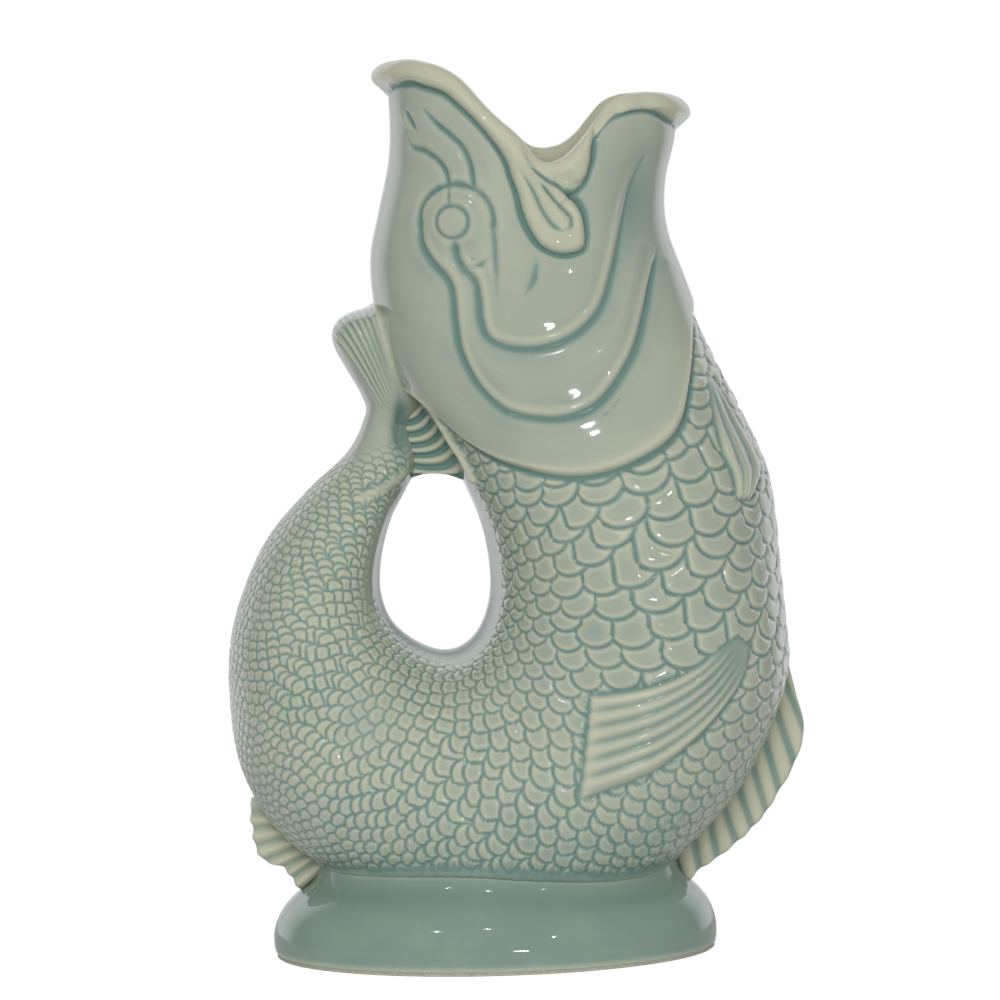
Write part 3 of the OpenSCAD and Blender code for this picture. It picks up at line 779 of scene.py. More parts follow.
def lay_scales():
    """Stations and angles of the scales, laid one by one from the gill cover down, each in the next notch."""
    a = np.linspace(0, 180, 541)
    front = np.interp(a, GRID_A, GILL_T) - 0.7
    found = []
    while len(found) < MOST_SCALES:
        k = int(np.argmin(front))
        t = front[k]
        if t > TAIL_END + 0.3:
            break
        step = np.linalg.norm(np.diff(skin(t, a), axis=0), axis=1)
        arc = np.concatenate([[0], np.cumsum(step)])
        width = float(scale_width(np.array(t), a[k:k + 1])[0])
        if 0 < k < len(a) - 1 and min(arc[k], arc[-1] - arc[k]) < 0.47 * width:
            front[k] += 0.03
            continue
        found.append((t, a[k]))
        near = np.abs(arc - arc[k]) < width
        along = np.linalg.norm(skin_along(t, a[near]), axis=1)
        gap = np.sqrt(np.maximum(width ** 2 - (arc[near] - arc[k]) ** 2, 0)) * ROW_SHARE / 0.866
        front[near] = np.maximum(front[near], t + gap / along)
    return np.array(found).T


def uneven_scales():
    """Station, angle, twist, swell and lift of the scales on both sides, a little uneven."""
    t, a = lay_scales()
    n = len(t)
    rng = np.random.default_rng(5)
    width = scale_width(t, a)
    middle = (a < 0.5) | (a > 179.5)
    t = t + rng.uniform(-1, 1, n) * 0.05 * width / np.linalg.norm(skin_along(t, a), axis=1)
    slide = rng.uniform(-1, 1, n) * 0.05 * width / np.linalg.norm(skin_around(t, a), axis=1)
    a = np.where(middle, a, a + slide)
    twist = np.where(middle, 0, rng.uniform(-0.1, 0.1, n))
    near = np.array([t, a, twist, rng.uniform(0.94, 1.06, n), rng.uniform(0.75, 1.25, n)])
    return np.concatenate([near, near[:, a > 0] * [[1], [-1], [-1], [1], [1]]], axis=1)


def covering_scale(x, y, w):
    """Which near scale covers each point, the distance to its own free edge and to the nearest line.

    x and y are the point's places across and along each near scale, and w is that scale's width."""
    half = w * SCALE_WIDE_SHARE / 2
    long = w * SCALE_LONG_SHARE
    down = np.maximum(y, 0)
    rho = np.sqrt((x / half) ** 2 + (down / long) ** 2) + 1e-9
    slope = np.sqrt((x / half ** 2) ** 2 + (down / long ** 2) ** 2) / rho
    edge = (rho - 1) / np.maximum(slope, 0.25 / half)
    bend = 0.8 * ROW_SHARE * 4 / w
    key = -y + bend * x * x
    key_in = np.where(edge < 0, key, np.inf)
    covered = np.isfinite(key_in.min(axis=1))
    own = np.where(covered, np.argmin(key_in, axis=1), np.argmin(edge, axis=1))
    pick = (np.arange(len(own)), own)
    free = np.maximum(-edge[pick], 0)
    own_key = key[pick][:, None]
    gap = np.where((key < own_key) & (edge > 0), edge, np.inf).min(axis=1)
    rate = np.maximum(2 * bend * np.abs(x - x[pick][:, None]), 0.8)
    beside = np.where((edge < 0) & (key > own_key), (key - own_key) / rate, np.inf).min(axis=1)
    return pick, free, np.minimum(np.minimum(free, gap), beside)


def scale_grid(clear):
    """At each grid point: distance to the nearest line and free edge, and its scale's width and lift."""
    t, a, twist, swell, lift = uneven_scales()
    width = scale_width(t, np.abs(a)) * swell
    place = skin(t, a)
    along = unit(skin_along(t, a))
    across = unit(np.cross(skin_out(t, a), along))
    cos, sin = np.cos(twist)[:, None], np.sin(twist)[:, None]
    along, across = along * cos + across * sin, across * cos - along * sin
    tree = make_tree(place)
    wanted = np.flatnonzero(clear.ravel())
    points = GRID_P.reshape(-1, 3)[wanted]
    found = np.array([[i for _, i, _ in tree.find_n(p, NEAR_SCALES)] for p in points])
    d = points[:, None] - place[found]
    x, y = (d * across[found]).sum(axis=2), (d * along[found]).sum(axis=2)
    pick, free, line = covering_scale(x, y, width[found])
    out = np.full((4, GRID_T.size), 9 * MM)
    out[3] = 1
    out[:, wanted] = line, free, width[found][pick], lift[found[pick]]
    return out.reshape(4, *GRID_T.shape)


def scale_fade(gill_over):
    """How much of the scales' relief shows: less by the hole, fan, gill covers and foot."""
    bare = steps(14.5, 17, GRID_T)
    gap = np.full(GRID_T.shape, 9 * MM)
    gap[HEAD_PART] = np.where(gill_over > 0, 0, -gill_over)
    fade = 1 - steps(19.5, 21.5, GRID_T) * (1 - steps(30, 52, GRID_AA))
    fade *= 0.05 + 0.95 * steps(19 - 10 * bare, 28 - 4 * bare, GRID_AA)
    fade *= 1 - steps(24.8, 25.8, GRID_T + 0.4 * steps(60, 140, GRID_AA))
    fade *= steps(0.4 * MM, 2 * MM, np.where(GRID_T < 10, gap, 9 * MM))
    fade *= 1 - 0.5 * spot(GRID_PX, WORN_PX, WORN_R_PX) * (GRID_T > 17)
    return fade * (0.1 + 0.9 * steps(0.5 * MM, 4 * MM, NECK_D_GRID))


def tail_fold(pixels, width):
    """Weight of a fold on the tail, thin at its ends."""
    d, share = grid_distance(on_skin(pixels, 19.5, 25.5)[0], 14 * MM)
    return ease(share, 0.3, 0.2) * bell(d, width)


def body_relief(fins, gill_over):
    """Height of the scales and of the folds on the tail, and the scales' tone."""
    clear = (GRID_T > GILL_T - 0.15) & ~fins
    line, free, size, lift = scale_grid(clear)
    half = 0.30 * MM + 0.024 * size
    tilt = np.exp(-free / (0.35 * size)) * 0.026 * size * lift
    dome = (1 - bell(line, 0.15 * size)) * 0.03 * size
    height = 0.1 * MM + tilt + dome - (0.12 * MM + 0.028 * size) * bell(line, half)
    tone = 0.22 - 0.75 * bell(line, 0.75 * half, 1.9 * half)
    fade = scale_fade(gill_over) * clear
    height = height * fade + 0.9 * MM * bell(NECK_D_GRID, 2 * MM)
    height += tail_fold(TAIL_RIDGE_PX, 2 * MM) * (0.9 * MM - height)
    height -= 0.5 * MM * tail_fold(TAIL_CREASE_PX, 1 * MM)
    # Ribs of the fan run out on the end of the tail
    end = GRID_T > 24.4
    rib = np.zeros(GRID_T.shape)
    rib[end] = fan_ribs(GRID_PX[end])[0]
    height += FAN_RIB_RISE * rib * steps(25, 26, GRID_T) - ROOT_HOLLOW_DEPTH * root_hollow(GRID_PX) * end
    return height, tone * fade


def both_halves(half, flip=1):
    """Grid of the near half continued round the far half."""
    far = half[:, -2:0:-1].copy()
    if half.ndim == 3:
        far[..., 1] *= flip
    return np.concatenate([half, far], axis=1)


def blur(field, rounds, wrap=True):
    """Field smoothed over its grid."""
    for _ in range(rounds):
        across = (np.roll(field, 1, axis=1) + np.roll(field, -1, axis=1)) / 2
        if not wrap:
            across[:, 0] = field[:, 0]
            across[:, -1] = field[:, -1]
        along = field.copy()
        along[1:-1] = (field[2:] + field[:-2]) / 2
        field = field * 0.4 + across * 0.3 + along * 0.3
    return field


def grid_normals(points, wrap=True):
    """Outward direction of a grid of points."""
    around = np.roll(points, -1, axis=1) - np.roll(points, 1, axis=1) if wrap else np.gradient(points, axis=1)
    return unit(np.cross(np.gradient(points, axis=0), around))


def add_object(name, data):
    """New object in the scene."""
    thing = bpy.data.objects.new(name, data)
    bpy.context.scene.collection.objects.link(thing)
    return thing


def make_piece(node, slot, points, faces, normals=None, ending="_glazed", **fields):
    """Visible piece for a CAD node, with smooth faces, given normals and point attributes."""
    mesh = bpy.data.meshes.new(node + ending)
    mesh.from_pydata(points.reshape(-1, 3).tolist(), [], faces)
    mesh.polygons.foreach_set("use_smooth", np.ones(len(mesh.polygons), bool))
    for key, values in fields.items():
        layer = mesh.attributes.new(key, "FLOAT", "POINT")
        layer.data.foreach_set("value", np.ravel(values).astype(np.float32))
    if normals is not None:
        mesh.normals_split_custom_set_from_vertices(normals.reshape(-1, 3).tolist())
    mesh.update()
    mesh.materials.append(FINISHES[slot])
    piece = add_object(node + ending, mesh)
    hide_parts(node)
    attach(piece, "root")


def grid_faces(rows, cols, start=0, flip=False):
    """Four-sided faces of a grid of points that runs round on itself."""
    r = start + np.arange(rows - 1)[:, None] * cols
    c = np.arange(cols)[None]
    after = (c + 1) % cols
    a, b, d, e = r + c, r + after, r + cols + c, r + cols + after
    quads = np.stack([a, b, e, d] if flip else [a, d, e, b], axis=-1)
    return quads.reshape(-1, 4).tolist()


def closing_faces(rows, cols):
    """Faces that join the last row of such a grid to its first."""
    first, last = np.arange(cols), (rows - 1) * cols
    after = (first + 1) % cols
    return np.stack([after, last + after, last + first, first], axis=-1).tolist()


def end_caps(rows, cols, flip=False):
    """Faces over the first and the last row of such a grid."""
    first = list(range(cols))
    last = [(rows - 1) * cols + i for i in first]
    return [first[::-1], last] if flip else [first, last[::-1]]


def turned(faces, deep):
    """Four-sided faces with one sunk corner, turned so that they fold at that corner."""
    faces = np.asarray(faces)
    low = deep[faces]
    start = np.where(low.sum(axis=1) == 1, low.argmax(axis=1), 0)
    return np.take_along_axis(faces, (start[:, None] + np.arange(4)) % 4, axis=1).tolist()


def grown(mask, ways):
    """Mask joined with its copies moved by these steps down and across."""
    return np.logical_or.reduce([np.roll(mask, (r, c), axis=(0, 1)) for r in ways for c in ways])


def opened(mask):
    """Mask without the parts that are thinner than three points."""
    return grown(~grown(~mask, (-1, 0, 1)), (-1, 0, 1)) & mask


def erosion(mask):
    """How many cells each point of a mask lies in from its border, up to three."""
    level = np.zeros(mask.shape)
    inner = mask
    for _ in range(4):
        level += inner
        tall = np.pad(inner, ((1, 1), (0, 0)))
        inner = inner & tall[2:] & tall[:-2] & np.roll(inner, 1, axis=1) & np.roll(inner, -1, axis=1)
    return np.maximum(level - 1, 0) * mask


def plate(node, slot, mask, thick):
    """Closed thin piece whose top is a part of the skin, and how deep the skin sinks beneath it."""
    level = erosion(mask)
    cell = mask & np.roll(mask, -1, axis=1)
    cell[:-1] &= cell[1:]
    cell[-1] = False
    deep = ~grown(~cell, (0, 1)) & (level >= 1)
    cell = grown(deep, (0, -1))
    used = grown(cell, (0, 1))
    n_top = used.sum()
    top_id = np.full(mask.shape, -1)
    top_id[used] = np.arange(n_top)
    low_id = top_id.copy()
    low_id[deep] = n_top + np.arange(deep.sum())
    r, c = np.nonzero(cell)
    after = (c + 1) % mask.shape[1]
    corners = [(r, c), (r + 1, c), (r + 1, after), (r, after)]
    top_faces = np.stack([top_id[corner] for corner in corners], axis=-1)
    low_faces = np.stack([low_id[corners[i]] for i in (0, 3, 2, 1)], axis=-1)
    is_low = np.arange(n_top + deep.sum()) >= n_top
    depth = thick * np.clip(level / 3, 0, 1)
    low = (points - normals * depth[..., None])[deep]
    make_piece(
        node, slot, np.concatenate([points[used], low]), top_faces.tolist() + turned(low_faces, is_low),
        np.concatenate([normals[used], -normals[deep]]), pool=np.concatenate([pool[used], pool[deep]]),
    )
    return np.where(deep, depth + PLATE_GAP, 0)


def head_piece(node):
    """Head: a closed tube from the inside, over the rim, to the chest."""
    rows = slice(0, LEAD + HEAD_ROWS + 1)
    faces = turned(grid_faces(rows.stop, RING_N), (sunk[rows] > 0).ravel()) + closing_faces(rows.stop, RING_N)
    make_piece(node, "celadon_glaze", skin_points[rows], faces, normals[rows], pool=pool[rows])


def tube_piece(node, start, count, inner_ts):
    """Closed piece of the body: its outside from the grid, and the plain inside of the wall."""
    part = slice(LEAD + start, LEAD + start + count + 1)
    rows, cols = count + 1, RING_N
    coarse = cols // INNER_STEP
    ts, turns = inner_ts[:, None], np.linspace(0, 360, coarse, endpoint=False)
    inner = skin(ts, turns, WALL).reshape(-1, 3)
    begin = rows * cols
    last = begin + (len(inner_ts) - 1) * coarse
    faces = turned(grid_faces(rows, cols), (sunk[part] > 0).ravel())
    faces += grid_faces(len(inner_ts), coarse, start=begin, flip=True)
    for j in range(coarse):
        k = (j + 1) % coarse
        top = [(INNER_STEP * j + i) % cols for i in range(INNER_STEP + 1)]
        faces.append([begin + j, begin + k] + top[::-1])
        faces.append([(rows - 1) * cols + i for i in top] + [last + k, last + j])
    make_piece(
        node, "celadon_glaze", np.concatenate([skin_points[part].reshape(-1, 3), inner]), faces,
        np.concatenate([normals[part].reshape(-1, 3), -skin_out(ts, turns).reshape(-1, 3)]),
        pool=np.pad(pool[part].ravel(), (0, len(inner))), dull=np.pad(dull[part].ravel(), (0, len(inner))),
    )


def on_plane(pixels):
    """Points of the jug's mid plane that show at pixels of the photograph."""
    right, up, back = (np.array(v) for v in camera_axes())
    target = np.array(CAMERA_TARGET)
    eye = target + back * CAMERA_DISTANCE
    shift = (np.asarray(pixels, float) - TARGET_PX) * PIXEL
    way = target + shift[:, :1] * right - shift[:, 1:] * up - eye
    return eye - way * (eye[1] / way[:, 1])[:, None]


def web(
    node, root, edge, pleats, thick, rib, sink,
    round_edge=1, bend=0.0, arch=0.0, ink=2.2, shade=-0.15, most=0.6,
):
    """Closed ribbed fin in the mid plane between two lines of pixels."""
    u = np.linspace(0, 1, 181)[:, None]
    v = np.linspace(0, 1, 41)[None]
    root, edge = on_plane(root), on_plane(edge)
    way = unit(root - edge)
    root, edge = root + way * sink[0], edge - way * sink[1]
    back = unit(root[-2] + edge[-2] - root[-1] - edge[-1])
    last = len(root) - 1
    phase = curve(np.array(pleats, float), np.clip(u - bend * (np.sin(math.pi * v) - 0.6 * v), 0, 1) * last)
    wave = 0.5 - 0.5 * np.cos(2 * math.pi * phase)
    a, b = curve(root, u * last), curve(edge, u * last)
    near = a * (1 - v[..., None]) + b * v[..., None]
    near += unit(b - a) * (wave * 0.5 * rib * round_edge * v ** 3)[..., None]
    near += back * (arch * 4 * v * (1 - v) * u ** 5)[..., None]
    half = thick[0] * (1 - v) + thick[1] * v + rib * (wave ** 0.8 - 0.5) * steps(0, 0.3, v)
    if round_edge:
        half = half * quarter_round((v - 0.9) / 0.1) * quarter_round(1 - np.minimum(u, 1 - u) / 0.03)
    near[..., 1] = -half
    out = grid_normals(near, wrap=False)
    out = -out if out[..., 1].sum() > 0 else out
    ring, out = (np.concatenate([part, part[:, ::-1] * [1, -1, 1]], axis=1) for part in (near, out))
    ink_here = np.clip(ink * (0.45 - wave) * steps(-0.1, 0.3, v) + shade, -0.7, most)
    rows, cols = ring.shape[:2]
    flip = bool(np.cross(ring[1, 0] - ring[0, 0], ring[0, 1] - ring[0, 0])[1] > 0)
    faces = grid_faces(rows, cols, flip=flip) + end_caps(rows, cols, flip)
    pool = np.concatenate([ink_here, ink_here[:, ::-1]], axis=1)
    make_piece(node, "pale_glaze", ring, faces, out, pool=pool)


def fan_piece(node):
    """Fan at the end of the tail, with ribs that spread from its root."""
    s = np.linspace(1.6, len(FAN_STATIONS) - 1, FAN_ROWS)[:, None]
    a = np.linspace(0, 180, HALF_N // 2 + 1)[None]
    near = section_point(FAN_STATIONS, s, a, 2.5 * MM * np.maximum(2 - s, 0)[..., None])
    out = grid_normals(near, wrap=False)
    close = quarter_round((s - s[-1] + 1.1) / 1.1, 2.4)
    middle = near.mean(axis=1, keepdims=True) * [1, 0, 1]
    near = middle + (near - middle) * (0.03 + 0.97 * close)[..., None]
    px = to_pixels(near)
    ribs, u = (values.reshape(px.shape[:2]) for values in fan_ribs(px.reshape(-1, 2)))
    ridge = line_distance(near.reshape(-1, 3) * [1, 0, 1], on_plane(smooth_line(FAN_RIGHT_PX)), 9 * MM)[0]
    height = FAN_RIB_RISE * ribs * (1 - steps(150, 176, a)) * close
    height += FAN_RIDGE_RISE * bell(ridge.reshape(px.shape[:2]), FAN_RIDGE_WIDTH) * steps(0.3, 0.6, u)
    height = blur(height, 3, wrap=False) - ROOT_HOLLOW_DEPTH * root_hollow(px)
    # Painted shade in the hollow at the fan's root
    pool = (blur(height, 10, wrap=False) - height) / (0.4 * MM) + root_hollow(px)
    ring = both_halves(near + out * height[..., None], -1)
    rows, cols = ring.shape[:2]
    faces = grid_faces(rows, cols) + end_caps(rows, cols)
    pool = both_halves(np.clip(pool, -1, 1))
    make_piece(node, "celadon_glaze", ring, faces, grid_normals(ring), pool=pool)


def foot_piece(node):
    """Foot: a closed oval ring, rounded outside, with a plain inside."""
    profile = curve(np.array(FOOT_SHARES), np.linspace(0, len(FOOT_SHARES) - 1, FOOT_ROWS))[::-1]
    rows = [(*row, 0) for row in profile] + [(spread, share, RING_W) for spread, share in FOOT_INSIDE]
    rise = NECK_TOP - RING_H
    ring = np.array([foot_oval(spread, RING_H + share * rise, depth) for spread, share, depth in rows])
    share = profile[:, 1]
    # Painted shade in the band high on the foot, under the fish
    pool = sum(tone * bell(share, width, place) for tone, width, place in FOOT_BANDS_AND_SHADE)
    pool = np.repeat(np.clip(np.pad(pool, (0, len(FOOT_INSIDE))), -1, 1)[:, None], FOOT_N, axis=1)
    faces = grid_faces(len(ring), FOOT_N, flip=True) + closing_faces(len(ring), FOOT_N)
    make_piece(node, "foot_glaze", ring, faces, -grid_normals(ring), pool=pool)


def clay_ring(node):
    """Dry clay ring under the foot."""
    top, low, bevel = RING_H + RING_SOFT, RING_SOFT, RING_BEVEL
    rows = ((0, top), (0, low), (bevel, 0), (RING_W - bevel, 0), (RING_W, low), (RING_W, top))
    ring = np.array([foot_oval(RING_SPREAD, z, depth) for depth, z in rows])
    faces = grid_faces(len(ring), FOOT_N, flip=True) + closing_faces(len(ring), FOOT_N)
    make_piece(node, "dry_clay", ring, faces, ending="_clay")


def new_node(tree, kind, inputs=None, **settings):
    """Shader node with its settings and inputs."""
    node = tree.nodes.new("ShaderNode" + kind)
    for key, value in settings.items():
        setattr(node, key, value)
    feed(tree, node, inputs or {})
    return node


def feed(tree, node, inputs):
    """Set inputs of a node to values, or link them to the outputs of other nodes."""
    for key, value in inputs.items():
        if isinstance(value, bpy.types.NodeSocket):
            tree.links.new(value, node.inputs[key])
        else:
            node.inputs[key].default_value = value


def mapped(tree, value, low, high, edge=(0, 1), kind="LINEAR"):
    """Output that goes from low to high while a value goes from one edge to the other."""
    inputs = {"Value": value, "From Min": edge[0], "From Max": edge[1], "To Min": low, "To Max": high}
    return new_node(tree, "MapRange", inputs, interpolation_type=kind).outputs["Result"]


def new_material(name):
    """Material with nodes: itself, its node tree and its shader."""
    material = bpy.data.materials.new(name)
    material.use_nodes = True
    return material, material.node_tree, material.node_tree.nodes["Principled BSDF"]


def linear(c):
    """Display value from 0 to 255 turned into a linear share."""
    c /= 255
    return c / 12.92 if c <= 0.04045 else ((c + 0.055) / 1.055) ** 2.4


def ramp(tree, share, stops):
    """Colour along a ramp with stops of (place, colour in display values)."""
    node = new_node(tree, "ValToRGB", {"Fac": share})
    elements = node.color_ramp.elements
    while len(elements) < len(stops):
        elements.new(0.5)
    for element, (place, colour) in zip(elements, stops):
        element.position = place
        element.color = (*[linear(c) for c in colour], 1)
    return node.outputs["Color"]


def noise(tree, scale, detail=2):
    """Noise in the object's own coordinates."""
    place = new_node(tree, "TexCoord").outputs["Object"]
    return new_node(tree, "TexNoise", {"Vector": place, "Scale": scale, "Detail": detail}).outputs["Fac"]


def glaze(name, pale, flat, deep):
    """Celadon glaze: pale where it is thin over edges, deep where it pools in hollows and where shade is
    painted in.
    """
    material, tree, shader = new_material(name)
    pool = new_node(tree, "Attribute", attribute_name="pool").outputs["Fac"]
    dull = new_node(tree, "Attribute", attribute_name="dull").outputs["Fac"]
    wander = {0: noise(tree, GLAZE_NOISE, 4), 1: GLAZE_WANDER, 2: 0.5 - GLAZE_WANDER / 2}
    wander = new_node(tree, "Math", wander, operation="MULTIPLY_ADD").outputs["Value"]
    shade = new_node(tree, "Math", {0: pool, 1: 0.5, 2: wander}, operation="MULTIPLY_ADD").outputs["Value"]
    colour = ramp(tree, shade, [(0.1, pale), (0.5, flat), (0.9, deep)])
    gloss = mapped(tree, dull, GLAZE_GLOSS, DULL_GLOSS)
    feed(tree, shader, {
        "Base Color": colour, "Roughness": GLAZE_ROUGH, "IOR": GLAZE_IOR, "Specular IOR Level": gloss,
    })
    return material


def clay(name, colour):
    """Bare fired clay with a fine grain."""
    material, tree, shader = new_material(name)
    grain = ramp(tree, noise(tree, CLAY_GRAIN), [(0.3, [0.88 * c for c in colour]), (0.7, colour)])
    feed(tree, shader, {"Base Color": grain, "Roughness": CLAY_ROUGH})
    return material


def make_camera():
    """Camera at the photograph's angle, a long way off, with a small shift for the framing."""
    right, up, back = camera_axes()
    data = bpy.data.cameras.new("camera")
    data.sensor_width = SENSOR / MM
    data.lens = SENSOR / MM * CAMERA_DISTANCE / (PIXEL * IMAGE_SIDE)
    data.shift_x = (IMAGE_SIDE / 2 - TARGET_PX[0]) / IMAGE_SIDE
    data.shift_y = (TARGET_PX[1] - IMAGE_SIDE / 2) / IMAGE_SIDE
    camera = add_object("camera", data)
    turn = Matrix((right, up, back)).transposed().to_4x4()
    camera.matrix_world = Matrix.Translation(CAMERA_TARGET + back * CAMERA_DISTANCE) @ turn
    bpy.context.scene.camera = camera


def make_floor():
    """Plain pale floor that takes the jug's shadow and runs out into the white background."""
    bpy.ops.mesh.primitive_plane_add(size=8, location=(0, 0, 0))
    floor = bpy.context.object
    floor.name = "floor"
    material, tree, shader = new_material("floor")
    glow = mapped(tree, new_node(tree, "LightPath").outputs["Is Camera Ray"], 0, FLOOR_GLOW)
    feed(tree, shader, {
        "Base Color": (0.95, 0.95, 0.95, 1), "Roughness": 0.7,
        "Emission Color": (1, 1, 1, 1), "Emission Strength": glow,
    })
    place = new_node(tree, "TexCoord").outputs["Object"]
    length = new_node(tree, "VectorMath", {0: place}, operation="LENGTH").outputs["Value"]
    far = mapped(tree, length, 0, 1, FLOOR_EDGE, "SMOOTHSTEP")
    clear = new_node(tree, "BsdfTransparent").outputs["BSDF"]
    blend = new_node(tree, "MixShader", {"Fac": far, 1: shader.outputs["BSDF"], 2: clear})
    feed(tree, tree.nodes["Material Output"], {"Surface": blend.outputs["Shader"]})
    floor.data.materials.append(material)


def make_lamp(name, place, wide, high, watts, shows):
    """Lamp that faces the jug, with or without a reflection of its own."""
    data = bpy.data.lights.new(name, "AREA")
    data.shape = "RECTANGLE"
    data.size, data.size_y = wide, high
    data.energy = watts
    lamp = add_object(name, data)
    lamp.location = place
    lamp.rotation_mode = "QUATERNION"
    lamp.rotation_quaternion = (Vector(place) - CAMERA_TARGET).to_track_quat("Z", "Y")
    lamp.visible_glossy = shows


def make_world():
    """White for the camera, gloss and glass, darker in front of the jug, and softer light for the rest."""
    world = bpy.data.worlds.new("world")
    world.use_nodes = True
    tree = world.node_tree
    rays = new_node(tree, "LightPath").outputs
    tint = new_node(tree, "MixRGB", {"Fac": rays["Is Glossy Ray"], "Color1": (1, 1, 1, 1), "Color2": SKY})
    place = new_node(tree, "TexCoord").outputs["Generated"]
    depth = new_node(tree, "SeparateXYZ", {"Vector": place}).outputs["Y"]
    sides = mapped(tree, depth, ROOM, SIDES, BACKDROP_EDGE, "SMOOTHSTEP")
    middle = mapped(tree, depth, 1, 1 / SIDES, SIDES_EDGE, "SMOOTHSTEP")
    backdrop = new_node(tree, "Math", {0: sides, 1: middle}, operation="MULTIPLY").outputs["Value"]
    level = mapped(tree, rays["Is Glossy Ray"], AMBIENT, backdrop)
    level = mapped(tree, rays["Is Transmission Ray"], level, 1)
    level = mapped(tree, rays["Is Camera Ray"], level, 1)
    feed(tree, tree.nodes["Background"], {"Color": tint.outputs["Color"], "Strength": level})
    bpy.context.scene.world = world


def crest_and_inside(outer_row):
    """Inside of the head, from the chest up, and the rounded rim."""
    rim = rim_station(GRID_A)
    share = np.linspace(1, 0, INNER_ROWS + 1)[:, None] ** 1.4
    inner = skin(rim + (HEAD_END - rim) * share, GRID_A, WALL)
    half, middle = (outer_row - inner[-1]) / 2, (outer_row + inner[-1]) / 2
    turns = np.linspace(math.pi, 0, CREST_ROWS + 2)[1:-1][:, None, None]
    crest = middle + np.cos(turns) * half - np.sin(turns) * unit(skin_along(rim, GRID_A)) * RIM_RISE
    return np.concatenate([inner, crest])


def lap_over(near):
    """Points with the lap of the upper lip over the lower one, and where glaze pools beside it."""
    rows = slice(INNER_ROWS + 3, LEAD + 60)
    px = to_pixels(near[rows])
    line = smooth_line(LAP_PX)
    found = line_distance(in_space(px).reshape(-1, 3), in_space(line), 30)
    d, share = (values.reshape(px.shape[:2]) for values in found)
    beyond = px[..., 0] > np.interp(px[..., 1], line[:, 1], line[:, 0])
    on = steps(0.16, 0.42, share)
    step = steps(0, 3, d) * (1 - steps(8, 26, d)) * on * (1 - steps(0.93, 1, share))
    height = MM * (step * np.where(beyond, *LAP_STEP) - LAP_SEAM * bell(d, 1.8) * on)
    ink = np.zeros(near.shape[:2])
    ink[rows] = 1.5 * bell(d, 2.1) * on
    near = near.copy()
    near[rows] += grid_normals(near[rows], wrap=False) * height[..., None]
    return near, ink


def with_lead(part):
    """Values of the outside's grid with zeros for the rows of the inside and the rim."""
    return np.pad(part, ((LEAD, 0), (0, 0)))


def glaze_depth(height, added, ink):
    """How deep the glaze looks: from -1, thin over edges, to 1, pooled in hollows."""
    fine = blur(height, 14)
    pool = ((fine - height + 0.25 * (blur(fine, 90) - fine)) / POOL_RELIEF)[LEAD:]
    pool *= both_halves(1 - 0.1 * steps(-0.3, 0.3, GRID_T - GILL_T) + 0.3 * steps(14, 19, GRID_T))
    pool += both_halves(added)
    pool = np.where(both_halves(GRID_T < GILL_T - 0.25) & (pool < 0), 0.6 * pool, pool)
    ends = 1 - steps(4, 20, GRID_AA) + steps(158, 174, GRID_AA)
    pool *= both_halves(1 - 0.6 * ends * (GRID_T < 2.5))
    lead = np.repeat([-0.3, -0.8], [INNER_ROWS, LEAD - INNER_ROWS])[:, None] * np.ones(RING_N)
    return np.tanh(np.concatenate([lead, pool]) + both_halves(ink))


def side_mask(half, side):
    """Mask of the near half on the fish's right or left side of the whole grid."""
    whole = both_halves(with_lead(half))
    whole[:, slice(HALF_N + 1, None) if side == "right" else slice(1, HALF_N)] = False
    return opened(whole)


def lip_mask(half, low, high):
    """Mask of a lip: its band outside, the rim and the top of the inside between two angles."""
    half = with_lead(half)
    half[INNER_ROWS - 2:LEAD] = (GRID_A >= low) & (GRID_A <= high)
    return opened(both_halves(half))


FINISHES = {
    "celadon_glaze": glaze("celadon_glaze", CREAM, SCALE_GREEN, TEAL),
    "pale_glaze": glaze("pale_glaze", PALE, PALE_FLAT, PALE_DEEP),
    "foot_glaze": glaze("foot_glaze", FOOT_PALE, FOOT_GREEN, FOOT_DEEP),
    "dry_clay": clay("dry_clay", CLAY),
}

relief, masks, gill_over, added = head_relief()
fin_relief = 0
for stem, row in FLANK_FINS.items():
    height, masks[stem], tone = flank_fin(*row)
    fin_relief = fin_relief + height
    added = added + tone
fins = masks["pectoral_fin"] | masks["pelvic_fin"]
scales, tone = body_relief(fins, gill_over)
ridge = bell(grid_distance(on_skin(BACK_RIDGE_PX, 6, 10)[0], 8 * MM)[0], BACK_RIDGE_WIDTH)
relief = np.where(fins, 0, relief + scales)
relief += ridge * (BACK_RIDGE_RISE - relief) + fin_relief

outside = GRID_P + skin_out(GRID_T, GRID_AA) * relief[..., None]
lead = crest_and_inside(outside[0])
LEAD = len(lead)
points, ink = lap_over(np.concatenate([lead, outside]))
points = both_halves(points, -1)
near_share = 0.5 - 0.5 * np.tanh(points[..., 1] / (9 * MM))
points[..., 2] -= SETTLE * spot(points[..., ::2], SETTLE_PLACE, SETTLE_REACH) * near_share
normals = grid_normals(points)
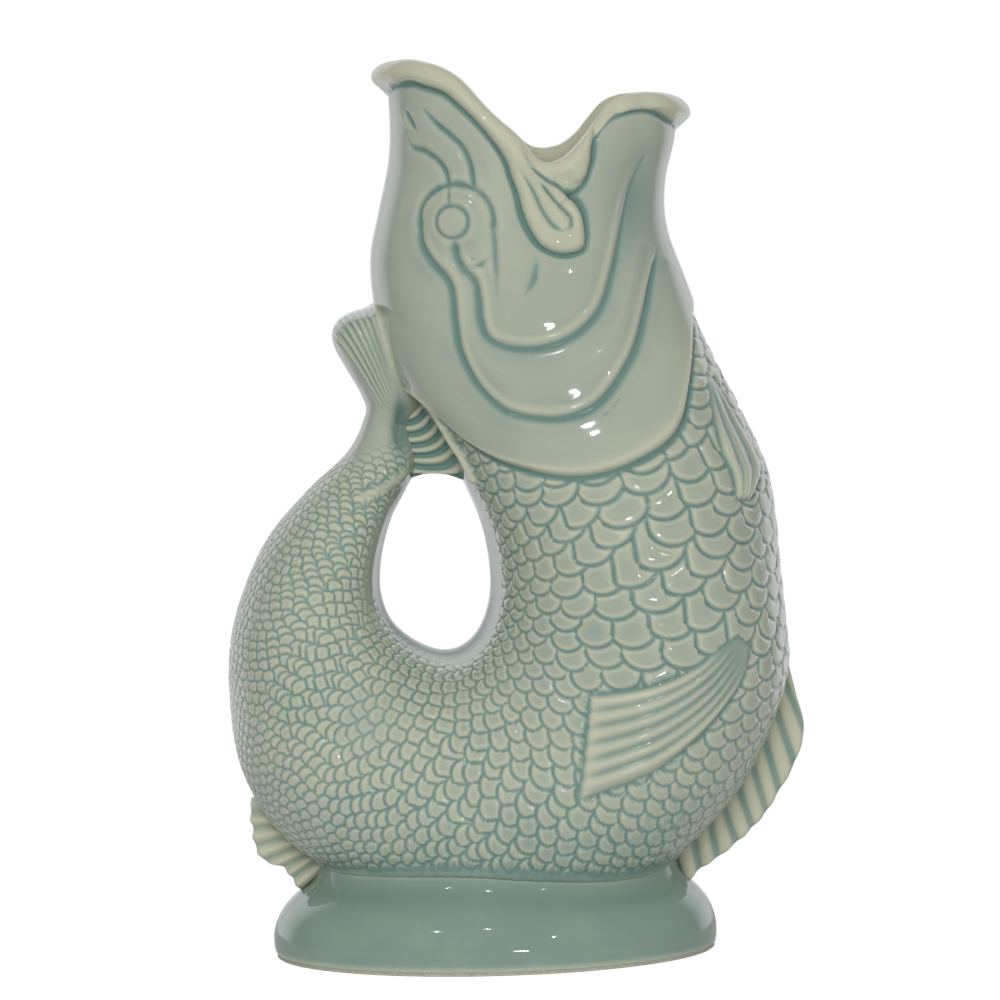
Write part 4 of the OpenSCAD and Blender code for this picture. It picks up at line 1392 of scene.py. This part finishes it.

# Painted shade round the hole, where the glaze also mirrors less, on the back of the tail, in the fan's root
# hollow and near the floor; the glaze also looks deeper beside the foot's neck
on_tail = steps(16, 19, GRID_T)
hole_shade = 1 - steps(7 + 4 * on_tail, 18 + 6 * on_tail, GRID_AA)
hole_shade *= steps(9, 10, GRID_T) * (1 - steps(24.5, 25.2, GRID_T))
# Painted shade round the hole; the glaze also looks deeper beside the foot's neck
added = added + tone + HOLE_SHADE * hole_shade + NECK_TONE * bell(NECK_D_GRID, NECK_TONE_WIDTH)
added -= RIDGE_TONE * ridge
# Painted shade on the back of the tail, beside the hole
tail_hole_shade = TAIL_HOLE_SHADE * (1 - steps(8, 26, GRID_AA)) * steps(17, 19, GRID_T)
# Painted shade in the hollow at the fan's root
added += tail_hole_shade + root_hollow(GRID_PX) * (GRID_T > 24)
# Painted shade, darker towards the floor
added += LOW_SHADE * (1 - steps(*LOW_SHADE_HEIGHTS, GRID_P[..., 2]))
pool = glaze_depth(both_halves(with_lead(relief)), added, ink)
dull = both_halves(with_lead(hole_shade))

sunk = np.zeros(points.shape[:2])
for stem, thick in PLATES.items():
    for side in ("right", "left"):
        sink = plate(f"{stem}_{side}", "celadon_glaze", side_mask(masks[stem], side), thick)
        sunk = np.maximum(sunk, sink)
for node, low, high in (("upper_lip", 0, CORNER), ("lower_lip", CORNER, 180)):
    sunk = np.maximum(sunk, plate(node, "pale_glaze", lip_mask(masks[node], low, high), 1 * MM))
skin_points = points - normals * sunk[..., None]

head_piece("head_shell")
first_row = HEAD_ROWS
for node, count, low, high, rings in TUBES:
    tube_piece(node, first_row, count, np.linspace(low, high, rings))
    first_row += count
web("belly_fin", BELLY_ROOT_PX, BELLY_EDGE_PX, BELLY_PLEATS, (2.6 * MM, 1.8 * MM), 0.9 * MM, (5 * MM, 0))
web("anal_fin", ANAL_ROOT_PX, ANAL_EDGE_PX, ANAL_PLEATS, (2.6 * MM, 1.8 * MM), 1.2 * MM, (4 * MM, 0), ink=1.2)
web(
    "back_fin", BACK_ROOT_PX, BACK_EDGE_PX, np.linspace(0, BACK_RIBS, len(BACK_ROOT_PX)), (3.5 * MM, 6 * MM),
    1.5 * MM, (5 * MM, 4 * MM), round_edge=0, bend=0.2, arch=5 * MM, ink=2, shade=0.55, most=1,
)
fan_piece("tail_fin")
foot_piece("foot")
clay_ring("foot_ring")

make_camera()
make_floor()
make_world()
for lamp in LAMPS:
    make_lamp(*lamp)
bpy.context.scene.view_settings.view_transform = "Standard"
